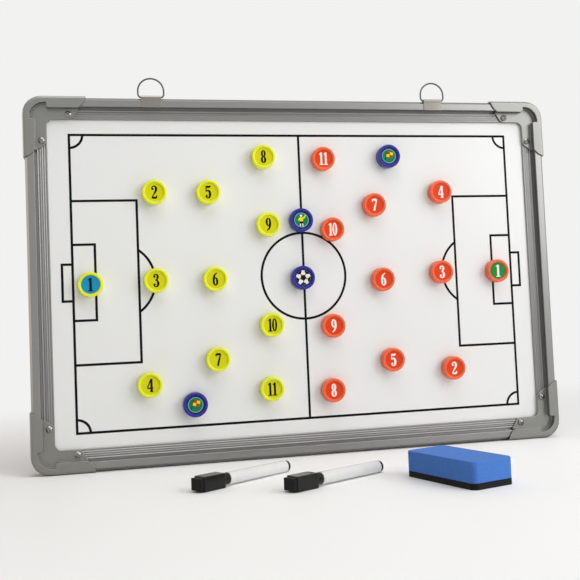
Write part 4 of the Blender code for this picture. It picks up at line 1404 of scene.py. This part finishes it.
def rounded_slab(low, high, edge):
    """A block with rounded upright edges and a rounded top edge, about the origin."""
    slab = block((-ERASER_LENGTH / 2, -ERASER_WIDTH / 2, low),
                 (ERASER_LENGTH / 2, ERASER_WIDTH / 2, high))
    upright = [e for e in slab.edges if abs(e.verts[0].co.z - e.verts[1].co.z) > 0.1]
    round_edges(slab, upright, ERASER_ROUND, segments=10)
    rims = [e for e in slab.edges if all(abs(v.co.z - high) < 0.01 for v in e.verts)]
    round_edges(slab, rims, edge, segments=4)
    return slab


def dress_eraser():
    """The eraser's foam block and felt pad."""
    for node, material, edge, slot in (("eraser_foam", cut_foam(), size("foam_edge"), "blue_foam"),
                                       ("eraser_felt", pressed_felt(), FELT_EDGE,
                                        "black_felt")):
        low, high = box(node)
        middle = (low + high) / 2
        solid = rounded_slab(low.z, high.z, edge)
        place = Matrix.Translation((middle.x, middle.y, 0))
        place @= Matrix.Rotation(math.radians(ERASER_HEADING), 4, "Z")
        piece = finish_piece(f"{node}_block", [(solid, material)], "eraser", place, sharp=40,
                             replaced=[node])


BACKDROP = "#f2f2f1"
FLOOR_RADIUS = 6.0
CAMERA_PLACE = (-0.16551, -0.61666, 0.115)
CAMERA_TURN = (93.1744, 2.4311, -12.1343)
CAMERA_LENS = 53.34
CAMERA_SENSOR = 36.0
CAMERA_SHIFT_Y = -0.0345

# Lamps: place, what it points at, width and height in metres, power in watts and colour
LAMPS = {
    "key": ((1.15, -0.95, 0.75), (0.0, 0.05, 0.15), (1.1, 1.1), 11.6, "#ffffff"),
    "left": ((-1.0, 0.6, 0.3), (-0.2, 0.12, 0.15), (1.2, 0.8), 3.8, "#ffe8d4"),
    "fill": ((-0.15, -0.8, 1.5), (0.0, 0.0, 0.1), (1.1, 1.1), 3.3, "#ffffff"),
    "top": ((0.1, -0.45, 1.4), (0.1, -0.35, 0.0), (1.0, 0.8), 5.9, "#ffffff"),
}

# The light of the room on matt surfaces, in tones from its dim left to its bright right side
ROOM_SLOPE = (1.0, 0.0, 0.15)
ROOM_TONES = ((-0.14, "#2c2c2c"), (0.06, "#828282"), (0.42, "#a0a0a0"), (0.58, "#f6f6f6"))


def lay_floor():
    """A round floor, wider than the camera sees."""
    bm = bmesh.new()
    bmesh.ops.create_circle(bm, cap_ends=True, segments=64, radius=FLOOR_RADIUS)
    mesh = bpy.data.meshes.new("studio_floor")
    bm.to_mesh(mesh)
    bm.free()
    mesh.materials.append(studio_floor())
    new_object("studio_floor", mesh)


def hang_lamps():
    """Wide soft lamps round the board."""
    for name, (place, aim, (width, height), power, code) in LAMPS.items():
        light = bpy.data.lights.new(f"lamp_{name}", "AREA")
        light.shape = "RECTANGLE"
        light.size = width
        light.size_y = height
        light.energy = power
        light.color = linear(code)
        lamp = new_object(f"lamp_{name}", light)
        lamp.location = place
        lamp.rotation_euler = (Vector(aim) - Vector(place)).to_track_quat("-Z", "Y").to_euler()


def light_room():
    """A pale backdrop for what shows it, and the room's tones for all else."""
    world = bpy.data.worlds.new("studio")
    world.use_nodes = True
    tree = world.node_tree
    place = add_node(tree, "ShaderNodeTexCoord")
    lean = add_node(tree, "ShaderNodeVectorMath", {0: place.outputs["Object"], 1: ROOM_SLOPE},
                    operation="DOT_PRODUCT")
    share = add_node(tree, "ShaderNodeMapRange", {"Value": lean.outputs["Value"],
                                                  "From Min": -1.0, "From Max": 1.0})
    room = add_node(tree, "ShaderNodeValToRGB", {"Fac": share.outputs["Result"]})
    room.color_ramp.interpolation = "EASE"
    tones = room.color_ramp.elements
    for slope, code in ROOM_TONES[1:-1]:
        tones.new((slope + 1) / 2)
    for tone, (slope, code) in zip(tones, ROOM_TONES):
        tone.position = (slope + 1) / 2
        tone.color = (*linear(code), 1.0)
    backdrop = (*linear(BACKDROP), 1.0)
    tree.links.new(blended(tree, shows_backdrop(tree), room.outputs["Color"], backdrop),
                   tree.nodes["Background"].inputs["Color"])
    bpy.context.scene.world = world


def place_camera():
    """The camera in front of the board, a little to its left."""
    lens = bpy.data.cameras.new("camera")
    lens.lens = CAMERA_LENS
    lens.sensor_width = CAMERA_SENSOR
    lens.shift_y = CAMERA_SHIFT_Y
    lens.clip_start = 0.01
    lens.clip_end = 50.0
    camera = new_object("camera", lens)
    camera.location = CAMERA_PLACE
    camera.rotation_euler = [math.radians(angle) for angle in CAMERA_TURN]
    bpy.context.scene.camera = camera
    bpy.context.scene.view_settings.view_transform = "Standard"


def set_stage():
    """The floor, the lamps, the backdrop's light and the camera."""
    lay_floor()
    hang_lamps()
    light_room()
    place_camera()


class BOARD_OT_panel(bpy.types.Operator):
    """Finish the panel's sheets and print the pitch"""

    bl_idname = "board.panel"
    bl_label = "Panel and Pitch"

    def execute(self, context):
        dress_panel()
        return {"FINISHED"}


class BOARD_OT_rails(bpy.types.Operator):
    """Make the four rails"""

    bl_idname = "board.rails"
    bl_label = "Rails"

    def execute(self, context):
        dress_rails()
        return {"FINISHED"}


class BOARD_OT_caps(bpy.types.Operator):
    """Make the four corner caps"""

    bl_idname = "board.caps"
    bl_label = "Corner Caps"

    def execute(self, context):
        dress_caps()
        return {"FINISHED"}


class BOARD_OT_screws(bpy.types.Operator):
    """Make the screws of the corner caps"""

    bl_idname = "board.screws"
    bl_label = "Screws"

    def execute(self, context):
        dress_screws()
        return {"FINISHED"}


class BOARD_OT_clips(bpy.types.Operator):
    """Make the two hanger clips"""

    bl_idname = "board.clips"
    bl_label = "Hanger Clips"

    def execute(self, context):
        dress_clips()
        return {"FINISHED"}


class BOARD_OT_rings(bpy.types.Operator):
    """Make the two wire rings"""

    bl_idname = "board.rings"
    bl_label = "Hanger Rings"

    def execute(self, context):
        dress_rings()
        return {"FINISHED"}


class BOARD_OT_counters(bpy.types.Operator):
    """Make the mouldings of the counters"""

    bl_idname = "board.counters"
    bl_label = "Counters"

    def execute(self, context):
        dress_counters()
        return {"FINISHED"}


class BOARD_OT_numbers(bpy.types.Operator):
    """Lay the numbered labels in the counters"""

    bl_idname = "board.numbers"
    bl_label = "Numbers"

    def execute(self, context):
        dress_numbers()
        return {"FINISHED"}


class BOARD_OT_pictures(bpy.types.Operator):
    """Lay the picture labels in the blue counters"""

    bl_idname = "board.pictures"
    bl_label = "Pictures"

    def execute(self, context):
        dress_pictures()
        return {"FINISHED"}


class BOARD_OT_pens(bpy.types.Operator):
    """Make the two pens"""

    bl_idname = "board.pens"
    bl_label = "Pens"

    def execute(self, context):
        dress_pens()
        return {"FINISHED"}


class BOARD_OT_eraser(bpy.types.Operator):
    """Make the eraser"""

    bl_idname = "board.eraser"
    bl_label = "Eraser"

    def execute(self, context):
        dress_eraser()
        return {"FINISHED"}


class BOARD_OT_stage(bpy.types.Operator):
    """Set the floor, the lamps and the camera"""

    bl_idname = "board.stage"
    bl_label = "Stage"

    def execute(self, context):
        set_stage()
        return {"FINISHED"}


STEPS = (BOARD_OT_stage, BOARD_OT_panel, BOARD_OT_rails, BOARD_OT_caps, BOARD_OT_screws,
         BOARD_OT_clips, BOARD_OT_rings, BOARD_OT_counters, BOARD_OT_numbers, BOARD_OT_pictures,
         BOARD_OT_pens, BOARD_OT_eraser)


class BOARD_PT_tools(bpy.types.Panel):
    """The steps, the sizes and the colours of the board"""

    bl_idname = "BOARD_PT_tools"
    bl_label = "Magnetic Tactics Board"
    bl_space_type = "VIEW_3D"
    bl_region_type = "UI"
    bl_category = "Board"

    def draw(self, context):
        layout = self.layout
        for step in STEPS:
            layout.operator(step.bl_idname)
        for group in (context.scene.board_sizes, context.scene.board_colours):
            for key in group.bl_rna.properties.keys():
                if key not in ("rna_type", "name"):
                    layout.prop(group, key)


CLASSES = (BoardSizes, BoardColours, *STEPS, BOARD_PT_tools)


def register():
    """Add the classes and the settings."""
    for cls in CLASSES:
        bpy.utils.register_class(cls)
    bpy.types.Scene.board_sizes = PointerProperty(type=BoardSizes)
    bpy.types.Scene.board_colours = PointerProperty(type=BoardColours)


def unregister():
    """Remove the settings and the classes."""
    del bpy.types.Scene.board_colours
    del bpy.types.Scene.board_sizes
    for cls in reversed(CLASSES):
        bpy.utils.unregister_class(cls)


def main():
    """Dress the whole board."""
    register()
    for step in STEPS:
        group, name = step.bl_idname.split(".")
        getattr(getattr(bpy.ops, group), name)()


if __name__ == "__main__":
    main()
